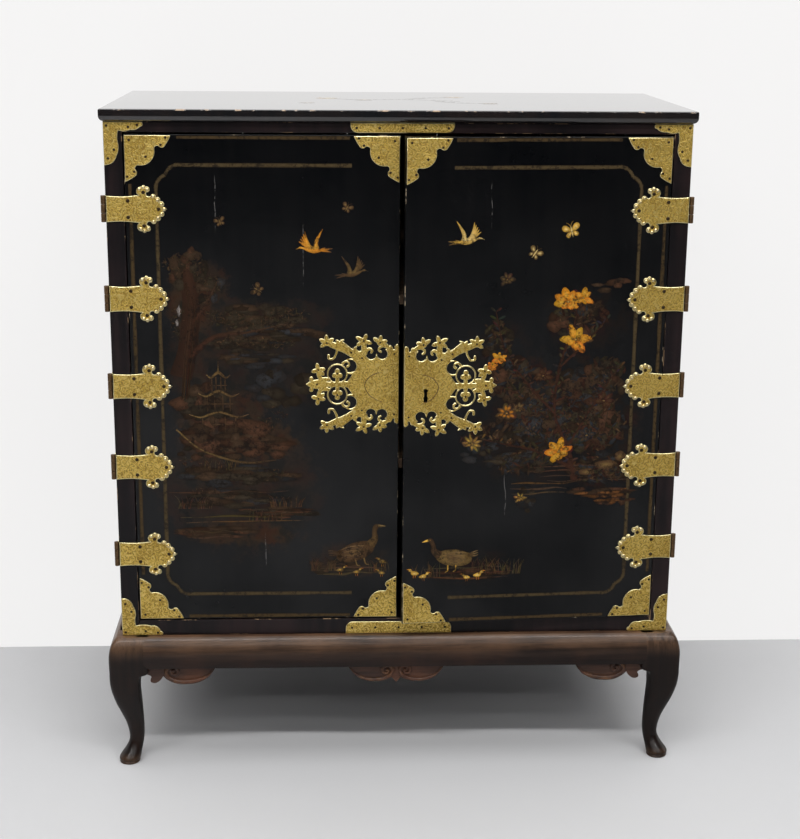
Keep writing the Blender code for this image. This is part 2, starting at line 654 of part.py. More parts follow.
def make_case_plates(brass):
    """L-shaped corner plates on the case, and a centre plate on each rail."""
    width, height = CASE_PLATE_UPRIGHT
    length = CASE_PLATE_FOOT_LENGTH
    tip = CASE_PLATE_TIP
    bevel = tip * math.sqrt(0.5)
    for level_name, level, edge_z, foot in (
            ("top", -1, CASE_TOP, CASE_PLATE_FOOT_TOP), ("bottom", 1, CASE_BOTTOM, CASE_PLATE_FOOT_BOTTOM)):
        outline = trace(
            (0.0, 0.0), (length, 0.0), (length, foot - 2 * tip),
            ((length - tip + bevel, foot - tip - tip + bevel), (length - tip, foot - tip)),
            ((length - tip - tip + bevel, foot - tip + bevel), (length - 2 * tip, foot)),
            (width, foot), (width, height - 3 * tip),
            ((width - tip + bevel, height - 2 * tip - tip + bevel), (width - tip, height - 2 * tip)),
            ((width - 2 * tip + bevel, height - tip - tip + bevel), (width - 2 * tip, height - tip)),
            (0.0, height))
        for side_name, side in (("left", -1), ("right", 1)):
            name = f"case_corner_{level_name}_{side_name}"
            shape = [(-side * across, level * up) for across, up in outline]
            spot = (
                side * (HALF_WIDTH - CASE_PLATE_MARGIN), plate_y(), edge_z + level * CASE_PLATE_MARGIN)
            place(name, sheet(name, shape, PLATE_THICK), spot, brass)
    for name, (long, tall), middle, level in (
            ("rail_plate_top", RAIL_PLATE_TOP, CASE_TOP - CARCASS_TOP_THICK / 2, -1),
            ("rail_plate_bottom", RAIL_PLATE_BOTTOM, CASE_BOTTOM + RAIL_PLATE_BOTTOM[1] / 2 + FIT_GAP, 1)):
        taper = RAIL_PLATE_TAPER
        shoulder = long / 2 - taper
        bulge = taper * math.sqrt(0.5)
        half = trace(
            (long / 2, -level * tall / 2), (long / 2, level * (tall / 2 - taper)),
            ((shoulder + bulge, level * (tall / 2 - taper + bulge)), (shoulder, level * tall / 2)))
        shape = half + [(-across, up) for across, up in reversed(half)]
        place(name, sheet(name, shape, PLATE_THICK), (MEETING_OFFSET, plate_y(), middle), brass)


def bead(bm, x, z, radius, sides, depth=PLATE_THICK):
    """Add a flat disc that lies in the plate."""
    turn = Matrix.Translation((x, 0.0, z)) @ Matrix.Rotation(math.pi / 2, 4, "X")
    bmesh.ops.create_cone(
        bm, cap_ends=True, segments=sides, radius1=radius, radius2=radius, depth=depth, matrix=turn)


def bar(bm, x0, z0, x1, z1, width):
    """Add a flat straight bar of the plate's thickness."""
    run = Vector((x1 - x0, 0.0, z1 - z0))
    turn = Matrix.Rotation(-math.atan2(run.z, run.x), 4, "Y")
    middle = Matrix.Translation(((x0 + x1) / 2, 0.0, (z0 + z1) / 2))
    size = Matrix.Diagonal((run.length, PLATE_THICK, width, 1.0))
    bmesh.ops.create_cube(bm, size=1.0, matrix=middle @ turn @ size)


def lock_plate_mesh(side, has_keyhole):
    """A pierced plate: shield, two rings with trefoils, scrolls, sprays of buds and a fleur-de-lis."""
    origin = (0.0, 0.0, 0.0)
    outline = flipped(mirrored(list(LOCK_PLATE_BODY)), side)
    plate = place("lock_plate", sheet("lock_plate", outline, PLATE_THICK), origin)

    rings = bmesh.new()
    holes = bmesh.new()
    sprays = bmesh.new()
    for up in (-1, 1):
        for x, z, outer, inner in (LOCK_PLATE_RING, LOCK_PLATE_SCROLL):
            bead(rings, side * x, up * z, outer, RING_SIDES)
            bead(holes, side * x, up * z, inner, RING_SIDES, 2 * PLATE_THICK)
        for x0, z0, x1, z1, width in LOCK_PLATE_BARS:
            bar(sprays, side * x0, up * z0, side * x1, up * z1, width)
        for x, z, radius in LOCK_PLATE_BEADS:
            bead(sprays, side * x, up * z, radius, BEAD_SIDES)
    start, stop, width = LOCK_PLATE_BAR
    bar(sprays, side * start, 0.0, side * stop, 0.0, width)
    bead(sprays, side * LOCK_PLATE_HEART[0], 0.0, LOCK_PLATE_HEART[1], RING_SIDES)
    bead(sprays, side * LOCK_PLATE_TIP[0], 0.0, LOCK_PLATE_TIP[1], TIP_SIDES)

    cutters = []
    if has_keyhole:
        cutters += keyhole("plate_keyhole", (side * KEYHOLE_INSET, 0.0, -KEYHOLE_DROP), DOOR_THICK)
    for cutter in cutters:
        combine(plate, cutter, "DIFFERENCE")
    for name, bm, operation in (
            ("rings", rings, "UNION"), ("ring_holes", holes, "DIFFERENCE"), ("sprays", sprays, "UNION")):
        cutters.append(place(name, mesh_from(name, bm), origin))
        combine(plate, cutters[-1], operation)
    return baked(plate, cutters)


def make_lock(brass, iron, pivots):
    """Lock plates outside, and inside the lock case with its bolt and the left door's own bolt."""
    for side_name, side in (("left", -1), ("right", 1)):
        mesh = lock_plate_mesh(side, side_name == "right")
        spot = (FREE_EDGE[side_name], plate_y(), LOCK_MIDDLE[side_name])
        place(f"{side_name}_lock_plate", mesh, spot, brass, pivots[side_name])
    right = pivots["right"]

    long, deep, tall = LOCK_CASE_SIZE
    case_x = FREE_EDGE["right"] + LOCK_CASE_INSET
    case_y = DOOR_BACK_Y + FIT_GAP
    key_z = LOCK_MIDDLE["right"] - KEYHOLE_DROP
    lock_case = block(
        "lock_case", (case_x, case_y, key_z - tall / 2), (case_x + long, case_y + deep, key_z + tall / 2),
        iron, right)
    bolt_long, bolt_deep, bolt_tall = LOCK_BOLT_SIZE
    bolt_x = case_x + LOCK_BOLT_RECESS
    bolt_y = case_y + (deep - bolt_deep) / 2
    bolt_z = key_z + LOCK_BOLT_LIFT - bolt_tall / 2
    low = Vector((bolt_x, bolt_y, bolt_z))
    high = low + Vector(LOCK_BOLT_SIZE)
    block("lock_bolt", low, high, iron, right)
    room = Vector((BOLT_CLEARANCE,) * 3)
    chamber_low = low - room
    chamber_low.x = case_x - deep
    combine(lock_case, block("bolt_chamber", chamber_low, high + room, carrier=right), "DIFFERENCE")

    left = pivots["left"]
    x = FREE_EDGE["left"] - DOOR_BOLT_INSET
    y = FRONT_Y + DOOR_THICK / 2
    top = DOOR_TOP - DOOR_BOLT_RECESS
    bolt = rod(
        "door_bolt", DOOR_BOLT_RADIUS, DOOR_BOLT_LENGTH, (x, y, top - DOOR_BOLT_LENGTH / 2),
        material=iron, carrier=left)
    reach = DOOR_THICK / 2 + DOOR_BOLT_KNOB_REACH
    knob = rod(
        "door_bolt_knob", DOOR_BOLT_KNOB_RADIUS, reach, (x, y + reach / 2, top - DOOR_BOLT_KNOB_DROP), "Y",
        carrier=left)
    combine(bolt, knob, "UNION")


def make_cabinet():
    """Put the whole cabinet together."""
    clear_scene()
    lacquer = finish("black_lacquer", (0.012, 0.014, 0.016), 0.25)
    plain_wood = finish("plain_wood", (0.16, 0.10, 0.06), 0.7)
    walnut = finish("dark_walnut", (0.045, 0.026, 0.018), 0.35)
    brass = finish("chased_brass", (0.60, 0.44, 0.16), 0.35, 1.0)
    iron = finish("lock_iron", (0.12, 0.11, 0.10), 0.5, 1.0)
    pin_y = FRONT_Y + PIN_DEPTH
    pivots = {
        "left": pivot("left_door_pivot", (-PIN_X, pin_y, DOOR_MIDDLE)),
        "right": pivot("right_door_pivot", (PIN_X, pin_y, DOOR_MIDDLE), RIGHT_DOOR_AJAR),
    }
    make_case(lacquer, plain_wood)
    make_rails(walnut)
    make_mouldings(walnut)
    make_legs(walnut)
    make_doors(lacquer, pivots)
    make_hinges(brass, pivots)
    make_door_corners(brass, pivots)
    make_case_plates(brass)
    make_lock(brass, iron, pivots)


make_cabinet()
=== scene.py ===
# A black lacquered cabinet with chased brass mounts on a low walnut stand, standing against a white wall.
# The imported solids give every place; the pieces below dress them. Lengths are in metres.
import math
import random

import bmesh
import bpy
import numpy as np
from mathutils import Matrix, Vector
from mathutils.geometry import delaunay_2d_cdt


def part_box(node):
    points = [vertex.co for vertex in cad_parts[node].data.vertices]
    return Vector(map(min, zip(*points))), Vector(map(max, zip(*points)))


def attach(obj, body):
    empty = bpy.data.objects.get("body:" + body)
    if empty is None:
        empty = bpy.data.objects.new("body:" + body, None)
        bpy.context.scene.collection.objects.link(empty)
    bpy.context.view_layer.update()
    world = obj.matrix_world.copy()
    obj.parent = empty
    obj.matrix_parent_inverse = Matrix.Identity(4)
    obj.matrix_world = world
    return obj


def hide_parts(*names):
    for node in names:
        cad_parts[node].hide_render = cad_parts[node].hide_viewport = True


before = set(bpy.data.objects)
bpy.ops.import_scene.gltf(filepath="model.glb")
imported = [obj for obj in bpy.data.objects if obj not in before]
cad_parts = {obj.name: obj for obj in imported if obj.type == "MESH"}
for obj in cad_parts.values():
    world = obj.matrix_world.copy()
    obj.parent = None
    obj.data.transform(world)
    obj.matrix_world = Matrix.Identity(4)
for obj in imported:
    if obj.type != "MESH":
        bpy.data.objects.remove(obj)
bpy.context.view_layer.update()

# The camera stands a little to the left, above the top of the cabinet, and looks down at it.
# Its lens frames the cabinet as the photograph does.
bpy.context.scene.view_settings.view_transform = "Standard"
eye = Vector((-0.1172, -2.8230, 1.3280))
pan, tilt, lean = math.radians(2.649), math.radians(15.072), math.radians(0.4906)
ahead = Vector((math.sin(pan) * math.cos(tilt), math.cos(pan) * math.cos(tilt), -math.sin(tilt)))
level = Vector((math.cos(pan), -math.sin(pan), 0.0))
rise = level.cross(ahead)
across = level * math.cos(lean) + rise * math.sin(lean)
upward = rise * math.cos(lean) - level * math.sin(lean)
bpy.ops.object.camera_add(location=eye, rotation=Matrix((across, upward, -ahead)).transposed().to_euler())
bpy.context.object.data.lens = 68.77
bpy.context.object.data.sensor_width = 36.0
bpy.context.scene.camera = bpy.context.object


# The room: a pale grey floor and a white wall just behind the cabinet, under a panel and three long lamps.
# The floor is dim in reflections; the wall is white in them too, and open when it is seen from behind.
class Wash:
    """A socket in a material's nodes; arithmetic on it adds Math nodes."""

    def __init__(self, tree, socket):
        self.tree, self.socket = tree, socket

    def feed(self, entry, value):
        """Link or set one input; a colour gets its fourth part."""
        if isinstance(value, Wash):
            self.tree.links.new(value.socket, entry)
        elif hasattr(value, "__len__") and len(value) == 3 and len(entry.default_value) == 4:
            entry.default_value = (*value, 1.0)
        else:
            entry.default_value = value

    def node(self, kind, settings, sockets, output=0):
        """Any node: its settings are set first, then its sockets are set or linked."""
        made = self.tree.nodes.new("ShaderNode" + kind)
        for key, value in settings.items():
            setattr(made, key, value)
        for key, value in sockets.items():
            self.feed(made.inputs[key], value)
        return Wash(self.tree, made.outputs[output])

    def mark(self, name, output="Fac"):
        """What the mesh carries under a name."""
        return self.node("Attribute", {"attribute_name": name}, {}, output)

    def axis(self, letter):
        """One part of a place."""
        return self.node("SeparateXYZ", {}, {0: self}, letter)

    def maths(self, operation, other, turned=False):
        """A Math node on this and another value, the other one first where turned."""
        first, second = (other, self) if turned else (self, other)
        return self.node("Math", {"operation": operation}, {0: first, 1: second})

    def __add__(self, other):
        return self.maths("ADD", other)

    __radd__ = __add__

    def __sub__(self, other):
        return self.maths("SUBTRACT", other)

    def __rsub__(self, other):
        return self.maths("SUBTRACT", other, True)

    def __mul__(self, other):
        return self.maths("MULTIPLY", other)

    __rmul__ = __mul__

    def __truediv__(self, other):
        return self.maths("DIVIDE", other)

    def __rtruediv__(self, other):
        return self.maths("DIVIDE", other, True)


def new_finish(name):
    """A node material: its shader node, and the object's coordinates to paint with."""
    material = bpy.data.materials.new(name)
    material.use_nodes = True
    tree = material.node_tree
    shader = tree.nodes["Principled BSDF"]
    place = Wash(tree, tree.nodes.new("ShaderNodeTexCoord").outputs["Object"])
    return material, shader, place


def mottle(place, scale, detail=4.0, rough=0.55, stretch=None):
    """Noise from 0 to 1, drawn out along an axis where stretch says so."""
    if stretch:
        place = place.node("Mapping", {}, {"Vector": place, "Scale": stretch})
    return place.node(
        "TexNoise", {}, {"Vector": place, "Scale": scale, "Detail": detail, "Roughness": rough}, "Fac")


def blend(amount, first, second):
    """One colour over another by an amount."""
    return amount.node("Mix", {"data_type": "RGBA"}, {0: amount, 6: first, 7: second}, 2)


def ease(value, low, high):
    """0 below low and 1 above high, with a soft step between."""
    return value.node(
        "MapRange", {"interpolation_type": "SMOOTHSTEP"}, {"Value": value, "From Min": low, "From Max": high})


def room_finish(name, colour, glow, dim, open_behind):
    """A matt surface that shows its own glow to the camera and in reflections, or is dim in reflections."""
    material, shader, place = new_finish(name)
    tree = material.node_tree
    rays = tree.nodes.new("ShaderNodeLightPath")
    camera_ray, glossy_ray, clear_ray = (
        Wash(tree, rays.outputs[kind]) for kind in ("Is Camera Ray", "Is Glossy Ray", "Is Transmission Ray"))
    paint = blend(mottle(place, 3.0, 5.0), [0.95 * tone for tone in colour], colour)
    # Painted shade in reflections: to glossy rays the floor turns near black, more so towards +X, so the doors, the
    # right one most, mirror a darker floor.
    far_right = ease(place.axis("X"), -0.1, 0.4)
    reflection_shade = glossy_ray * (far_right * 0.22 + 0.28) * dim
    place.feed(shader.inputs["Base Color"], blend(reflection_shade, paint, (0.012, 0.012, 0.013)))
    shader.inputs["Roughness"].default_value = 0.75
    shader.inputs["Specular IOR Level"].default_value = 0.25
    shown = camera_ray.maths("MAXIMUM", glossy_ray).maths("MAXIMUM", clear_ray)
    light = place.node("Emission", {}, {"Color": colour})
    mixed = place.node("MixShader", {}, {0: shown * glow, 1: Wash(tree, shader.outputs[0]), 2: light})
    if open_behind:
        behind = Wash(tree, tree.nodes.new("ShaderNodeNewGeometry").outputs["Backfacing"])
        mixed = place.node("MixShader", {}, {0: behind, 1: mixed, 2: place.node("BsdfTransparent", {}, {})})
    place.feed(tree.nodes["Material Output"].inputs["Surface"], mixed)
    return material


def room_plane(name, spot, turn, finish):
    """One wide plane of the room, level or turned about X."""
    bpy.ops.object.select_all(action="DESELECT")
    bpy.ops.mesh.primitive_plane_add(size=14.0, location=spot, rotation=(turn, 0.0, 0.0))
    plane = bpy.context.object
    plane.name = name
    plane.data.materials.append(finish)
    return plane


floor_paint = room_finish("floor_paint", (0.63, 0.63, 0.637), 0.0, 1.0, False)
wall_paint = room_finish("wall_paint", (0.925, 0.918, 0.913), 0.85, 0.0, True)
floor = room_plane("studio_floor", (0.0, 0.0, 0.0), 0.0, floor_paint)
wall = room_plane("studio_wall", (0.0, 0.300, 7.0), math.pi / 2, wall_paint)

sky = bpy.data.worlds.new("studio_air")
bpy.context.scene.world = sky
sky.use_nodes = True
shiny = Wash(sky.node_tree, sky.node_tree.nodes.new("ShaderNodeLightPath").outputs["Is Glossy Ray"])
shiny.feed(
    sky.node_tree.nodes["Background"].inputs["Color"], blend(shiny, (0.150, 0.153, 0.160), (0.035, 0.036, 0.040)))
front = (0.0, 0.0, 0.6)
for lamp_name, lamp_spot, aim_spot, wide, deep, watts in (
        ("near_lamp", (-0.1, -3.5, 4.8), front, 8.8, 0.25, 215.0),
        ("middle_lamp", (-0.1, -5.2, 4.8), front, 8.8, 0.25, 45.0),
        ("far_lamp", (-0.1, -7.4, 4.8), front, 8.8, 0.25, 75.0),
        ("ceiling_panel", (0.0, -1.0, 4.6), (0.0, -1.0, 0.0), 5.0, 2.2, 82.0)):
    aim = Vector(aim_spot) - Vector(lamp_spot)
    bpy.ops.object.light_add(type="AREA", location=lamp_spot, rotation=aim.to_track_quat("-Z", "Y").to_euler())
    lamp = bpy.context.object
    lamp.name = lamp_name
    lamp.data.shape = "RECTANGLE"
    lamp.data.size, lamp.data.size_y = wide, deep
    lamp.data.energy = watts


# The case: two sides, a top and a bottom board of softwood, pegged together and covered with black japan.
# Their front edges frame the doors, and the japan there is rubbed brown and chipped along the arrises.
# The top board has a socket for the bolt of the left door.
def take(piece):
    """Select one piece alone and make it active."""
    bpy.ops.object.select_all(action="DESELECT")
    piece.select_set(True)
    bpy.context.view_layer.objects.active = piece


def in_edit(piece, *steps):
    """Select all of a piece in edit mode and run operators there, each with its settings."""
    take(piece)
    bpy.ops.object.mode_set(mode="EDIT")
    bpy.ops.mesh.select_all(action="SELECT")
    for step, settings in steps:
        step(**settings)
    bpy.ops.object.mode_set(mode="OBJECT")


def block(name, low, high):
    """A plain block between two corners."""
    bpy.ops.object.select_all(action="DESELECT")
    low, high = Vector(low), Vector(high)
    bpy.ops.mesh.primitive_cube_add(size=1.0, location=(low + high) / 2)
    piece = bpy.context.object
    piece.name = name
    piece.scale = high - low
    bpy.ops.object.transform_apply(location=True, rotation=True, scale=True)
    return piece


def board(name, low, high, easing):
    """A planed board with eased arrises."""
    piece = block(name, low, high)
    in_edit(piece, (bpy.ops.mesh.bevel, {"offset": easing, "segments": 2, "affect": "EDGES"}))
    mark_edges(piece)
    return piece


def mark_edges(piece):
    """Faces that aren't square to an axis carry edge = 1: the finish wears there first, and on the brass the rims get
    a painted highlight there.
    """
    worn = piece.data.attributes.new("edge", "FLOAT", "FACE")
    for face, mark in zip(piece.data.polygons, worn.data):
        mark.value = float(max(abs(part) for part in face.normal) < 0.999)


def finish_with(piece, kind, **settings):
    """Add one modifier to a piece and apply it."""
    take(piece)
    modifier = piece.modifiers.new(kind.lower(), kind)
    for key, value in settings.items():
        setattr(modifier, key, value)
    bpy.ops.object.modifier_apply(modifier=modifier.name)


def cut_away(piece, cutters):
    """Cut other pieces out of a piece, and remove them."""
    for cutter in cutters:
        finish_with(piece, "BOOLEAN", object=cutter, operation="DIFFERENCE", solver="EXACT")
        bpy.data.objects.remove(cutter)


def rod(radius, length, spot, turn=0.0):
    """A round bar about a spot, upright or turned about X."""
    bpy.ops.object.select_all(action="DESELECT")
    bpy.ops.mesh.primitive_cylinder_add(
        vertices=24, radius=radius, depth=length, location=spot, rotation=(turn, 0.0, 0.0))
    return bpy.context.object


def settle(piece, body, slot, finish, *nodes):
    """Give a piece its finish and fix it to the body of the solids that it stands for."""
    piece.data.materials.clear()
    piece.data.materials.append(finish)
    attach(piece, body)
    if nodes:
        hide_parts(*nodes)


def dress(shader, place, sockets, strength, distance, height):
    """Feed a shader's sockets by their names, and its normal with a bump."""
    bump = place.node("Bump", {}, {"Strength": strength, "Distance": distance, "Height": height})
    for key, value in {**sockets, "Normal": bump}.items():
        place.feed(shader.inputs[key], value)


def japan(name, dark, brown, thin, wear, gloss, shine, whole=0.57):
    """Black japan: lamp black in shellac, browner where rubbed thin, chipped to the wood at the arrises."""
    material, shader, place = new_finish(name)
    cloud = mottle(place, 7.0, 5.0)
    streak = mottle(place, 70.0, 3.0, 0.5, (1.0, 1.0, 0.06))
    speck = mottle(place, 600.0, 2.0)
    chips = ease(mottle(place, 30.0, 7.0, 0.7), whole, whole + 0.05) * place.mark("edge") * wear
    scuffs = ease(mottle(place, 26.0, 9.0, 0.75), 0.70, 0.73) * (0.4 * wear)
    worn = chips.maths("MAXIMUM", scuffs)
    body = blend(ease(cloud * 0.6 + streak * 0.4, 0.36, 0.66) * thin, dark, brown)
    dress(shader, place, {
        "Base Color": blend(worn, body, (0.34, 0.22, 0.12)),
        "Roughness": gloss * (0.75 + 0.8 * cloud + 0.2 * speck) + 0.3 * worn,
        "Specular IOR Level": shine}, 0.5 * gloss, 0.001, streak * 0.5 + speck * 0.15 - worn)
    return material


case_japan = japan("case_japan", (0.0050, 0.0040, 0.0048), (0.021, 0.0115, 0.0115), 0.9, 0.7, 0.26, 0.22)
socket_radius, socket_depth = 0.0050, 0.0110
socket_spot = (-0.02905, -0.209369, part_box("carcass_top")[0].z)
for node in ("left_side", "right_side", "carcass_top", "carcass_bottom"):
    piece = board(node + "_board", *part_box(node), 0.0012)
    if node == "carcass_top":
        cut_away(piece, [rod(socket_radius, 2 * socket_depth, socket_spot)])
    settle(piece, "case", "black_lacquer", case_japan, node)


# The back and the two shelves: bare softwood boards, planed by hand and darkened with age.
# The back is nailed on as upright planks; the shelves sit in housings and their front edges stop the doors.
def joined(name, pieces):
    """One piece from several."""
    take(pieces[0])
    for piece in pieces:
        piece.select_set(True)
    bpy.ops.object.join()
    pieces[0].name = name
    return pieces[0]


def bare_wood(name, pale, deep, stretch):
    """Old unpainted softwood: year rings drawn out along the board, dirt in the pores and a few stains."""
    material, shader, place = new_finish(name)
    tone = place.mark("tone")
    shift = place.node("CombineXYZ", {}, {0: tone, 1: tone, 2: tone})
    shifted = place.node("VectorMath", {"operation": "ADD"}, {0: place, 1: shift})
    swell = mottle(shifted, 11.0, 2.0, 0.4, stretch)
    rings = (swell * 62.0).maths("SINE", 0.0) * 0.5 + 0.5
    grain = mottle(shifted, 210.0, 4.0, 0.6, stretch)
    stain = mottle(shifted, 5.0, 5.0, 0.6)
    body = blend(ease(rings * 0.45 + grain * 0.55, 0.20, 0.85), pale, deep)
    body = blend(ease(stain, 0.48, 0.72) * 0.5 + place.mark("edge") * 0.35, body, [0.45 * part for part in deep])
    body = blend((tone * 0.07).maths("FRACT", 0.0) * 0.5, body, [0.75 * part for part in deep])
    dress(
        shader, place, {"Base Color": body, "Roughness": 0.62 + 0.2 * grain}, 0.3, 0.0008, grain * 0.7 - rings * 0.3)
    return material


plank_wood = bare_wood("plank_wood", (0.225, 0.140, 0.082), (0.125, 0.072, 0.040), (1.0, 1.0, 0.07))
shelf_wood = bare_wood("shelf_wood", (0.245, 0.155, 0.092), (0.135, 0.080, 0.046), (0.07, 1.0, 1.0))
for node in ("lower_shelf", "upper_shelf"):
    settle(board(node + "_board", *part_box(node), 0.0015), "case", "plain_wood", shelf_wood, node)

back_low, back_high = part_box("back_panel")
back_width, plank_gap = back_high.x - back_low.x, 0.0008
plank_shares = (0.0, 0.19, 0.41, 0.60, 0.82, 1.0)
planks = []
for left_share, right_share in zip(plank_shares, plank_shares[1:]):
    low = (back_low.x + left_share * back_width + plank_gap / 2, back_low.y, back_low.z)
    high = (back_low.x + right_share * back_width - plank_gap / 2, back_high.y, back_high.z)
    plank = board("back_planks", low, high, 0.0018)
    tones = plank.data.attributes.new("tone", "FLOAT", "FACE")
    tones.data.foreach_set("value", [7.3 * left_share + 1.1] * len(plank.data.polygons))
    planks.append(plank)
settle(joined("back_planks", planks), "case", "plain_wood", plank_wood, "back_panel")


# The top: one wide japanned board with a rounded lower edge, glued and pinned over the case.
# It is polished enough to mirror the wall, with faint marks, and its upper arris is rubbed to the wood.
def bevel_where(piece, test, offset, segments):
    """Bevel the edges whose middle passes a test."""
    bpy.ops.object.mode_set(mode="EDIT")
    bpy.ops.mesh.select_mode(type="EDGE")
    bpy.ops.mesh.select_all(action="DESELECT")
    bpy.ops.object.mode_set(mode="OBJECT")
    points = piece.data.vertices
    for edge in piece.data.edges:
        edge.select = test((points[edge.vertices[0]].co + points[edge.vertices[1]].co) / 2)
    bpy.ops.object.mode_set(mode="EDIT")
    bpy.ops.mesh.bevel(offset=offset, segments=segments, affect="EDGES")
    bpy.ops.object.mode_set(mode="OBJECT")


top_low, top_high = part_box("top_board")
top_middle = (top_low + top_high) / 2
lower_round, upper_round = 0.0090, 0.0022
top = block("top_board_moulded", top_low, top_high)
bevel_where(
    top, lambda spot: spot.z < top_low.z + 0.001 and (spot.y < top_middle.y or abs(spot.x) > 0.3), lower_round, 8)
bevel_where(top, lambda spot: spot.z > top_high.z - 0.001, upper_round, 3)
mark_edges(top)
for face, mark in zip(top.data.polygons, top.data.attributes["edge"].data):
    mark.value = mark.value * float(face.center.z > top_high.z - 0.004)
top_japan = japan("top_japan", (0.0060, 0.0065, 0.0075), (0.020, 0.0125, 0.010), 0.6, 1.0, 0.02, 1.0, 0.545)
top_japan.node_tree.nodes["Principled BSDF"].inputs["Coat Weight"].default_value = 0.5
settle(top, "case", "black_lacquer", top_japan, "top_board")


# The stand's rails: walnut boards between the leg posts, with a sawn apron in front and at the sides.
# Along the apron's half moons a rounded bead is carved from the same wood and curls up into a small volute.
def arc(start, via, end, steps=14):
    """Points after start on the circle through three points, up to end."""
    (ax, ay), (bx, by), (cx, cy) = start, via, end
    spread = 2 * (ax * (by - cy) + bx * (cy - ay) + cx * (ay - by))
    aa, bb, cc = (x * x + y * y for x, y in (start, via, end))
    ox = (aa * (by - cy) + bb * (cy - ay) + cc * (ay - by)) / spread
    oy = (aa * (cx - bx) + bb * (ax - cx) + cc * (bx - ax)) / spread
    radius = math.hypot(ax - ox, ay - oy)
    begin, between, stop = (math.atan2(y - oy, x - ox) for x, y in (start, via, end))
    sweep = (stop - begin) % math.tau
    if (between - begin) % math.tau > sweep:
        sweep -= math.tau
    angles = [begin + sweep * step / steps for step in range(1, steps + 1)]
    return [(ox + radius * math.cos(angle), oy + radius * math.sin(angle)) for angle in angles]


def trace(start, *runs):
    """A path from start, through plain points and (via, end) arcs."""
    path = [start]
    for run in runs:
        if isinstance(run[0], tuple):
            path += arc(path[-1], *run)
        else:
            path.append(run)
    return path


def flow(stops, steps):
    """Rows on a smooth run through all the stops, with this many steps to each span."""
    rows = np.array(stops, float)
    rows = np.vstack([2 * rows[0] - rows[1], rows, 2 * rows[-1] - rows[-2]])
    run = []
    for first, here, there, last in zip(rows, rows[1:], rows[2:], rows[3:]):
        for step in range(steps):
            t = step / steps
            run.append(here + 0.5 * t * (there - first + t * (
                2 * first - 5 * here + 4 * there - last + t * (3 * (here - there) + last - first))))
    return np.array(run + [rows[-2]])


def linked(name, data):
    """A new object with a mesh or a curve, in the scene and active."""
    piece = bpy.data.objects.new(name, data)
    bpy.context.scene.collection.objects.link(piece)
    take(piece)
    return piece


def tidy(piece):
    """Merge doubles and turn the faces outwards."""
    in_edit(piece, (bpy.ops.mesh.remove_doubles, {"threshold": 0.00001}),
            (bpy.ops.mesh.normals_make_consistent, {"inside": False}))


def new_piece(name, points, faces):
    """A piece from points and faces, with its doubles merged and its faces turned outwards."""
    mesh = bpy.data.meshes.new(name)
    mesh.from_pydata([tuple(point) for point in points], [], faces)
    piece = linked(name, mesh)
    tidy(piece)
    return piece


def sawn(name, outline, thickness, easing=0.0):
    """A board sawn to an outline in the XZ plane, its thickness about y = 0, with eased edges."""
    piece = new_piece(name, [(x, -thickness / 2, z) for x, z in outline], [list(range(len(outline)))])
    in_edit(piece, (bpy.ops.mesh.extrude_region_move, {"TRANSFORM_OT_translate": {"value": (0.0, thickness, 0.0)}}))
    tidy(piece)
    if easing:
        finish_with(
            piece, "BEVEL", width=easing, segments=2, limit_method="ANGLE", angle_limit=math.radians(50))
    return piece


def bead(name, stops, steps=6):
    """A round bead along a smooth path; each stop gives x, y, z and the bead's radius."""
    rows = flow(stops, steps)
    curve = bpy.data.curves.new(name, "CURVE")
    curve.dimensions = "3D"
    curve.bevel_depth = 1.0
    curve.bevel_resolution = 3
    curve.use_fill_caps = True
    spline = curve.splines.new("POLY")
    spline.points.add(len(rows) - 1)
    for point, row in zip(spline.points, rows):
        point.co = (*row[:3], 1.0)
        point.radius = max(row[3], 0.0002)
    piece = linked(name, curve)
    bpy.ops.object.convert(target="MESH")
    tidy(piece)
    bpy.ops.object.shade_smooth()
    return piece


def mm(value):
    """Millimetres as metres, for a number or rows of numbers."""
    return tuple(mm(part) for part in value) if isinstance(value, tuple) else value / 1000


def walnut(name, stretch, tone):
    """Old waxed walnut: dark long grain, reddish where it is rubbed, pale at worn edges, lighter along the top of the
    stand from wear and a painted highlight, and lighter at the feet from wear.
    """
    material, shader, place = new_finish(name)
    grain = mottle(place, 85.0, 6.0, 0.62, stretch)
    cloud = mottle(place, 9.0, 4.0)
    pores = ease(mottle(place, 420.0, 2.0, 0.5, stretch), 0.56, 0.66)
    rubbed = ease(mottle(place, 30.0, 6.0, 0.7), 0.46, 0.62) * place.mark("edge")
    height = place.axis("Z")
    # Lighter from 0.196 m up: partly wear on the upper arrises, partly a painted highlight along the top of the
    # moulding. The foot pads are lighter from wear.
    worn_and_sheen_band = ease(height, 0.196, 0.243) + ease(height, 0.020, 0.008) * 0.5
    worn = worn_and_sheen_band * ease(cloud * 0.5 + grain * 0.5, 0.28, 0.62)
    dark, warm, red = ([tone * part for part in shade] for shade in (
        (0.0075, 0.0040, 0.0034), (0.026, 0.0120, 0.0072), (0.042, 0.0155, 0.0072)))
    body = blend(ease(grain, 0.15, 0.90), dark, warm)
    body = blend(ease(cloud, 0.48, 0.70) * 0.6, body, red)
    body = blend(worn * 0.8, body, (0.170, 0.094, 0.052))
    body = blend(pores * 0.25, body, (0.003, 0.002, 0.002))
    body = blend(rubbed * 0.7, body, (0.15, 0.070, 0.032))
    dress(shader, place, {
        "Base Color": body, "Roughness": 0.30 + 0.16 * cloud + 0.10 * pores, "Specular IOR Level": 0.20,
        "Coat Weight": 0.20, "Coat Roughness": 0.17}, 0.2, 0.0008, grain * 0.4 - pores * 0.3)
    return material


along, deep, upright = (0.06, 1.0, 1.0), (1.0, 0.06, 1.0), (1.0, 1.0, 0.06)
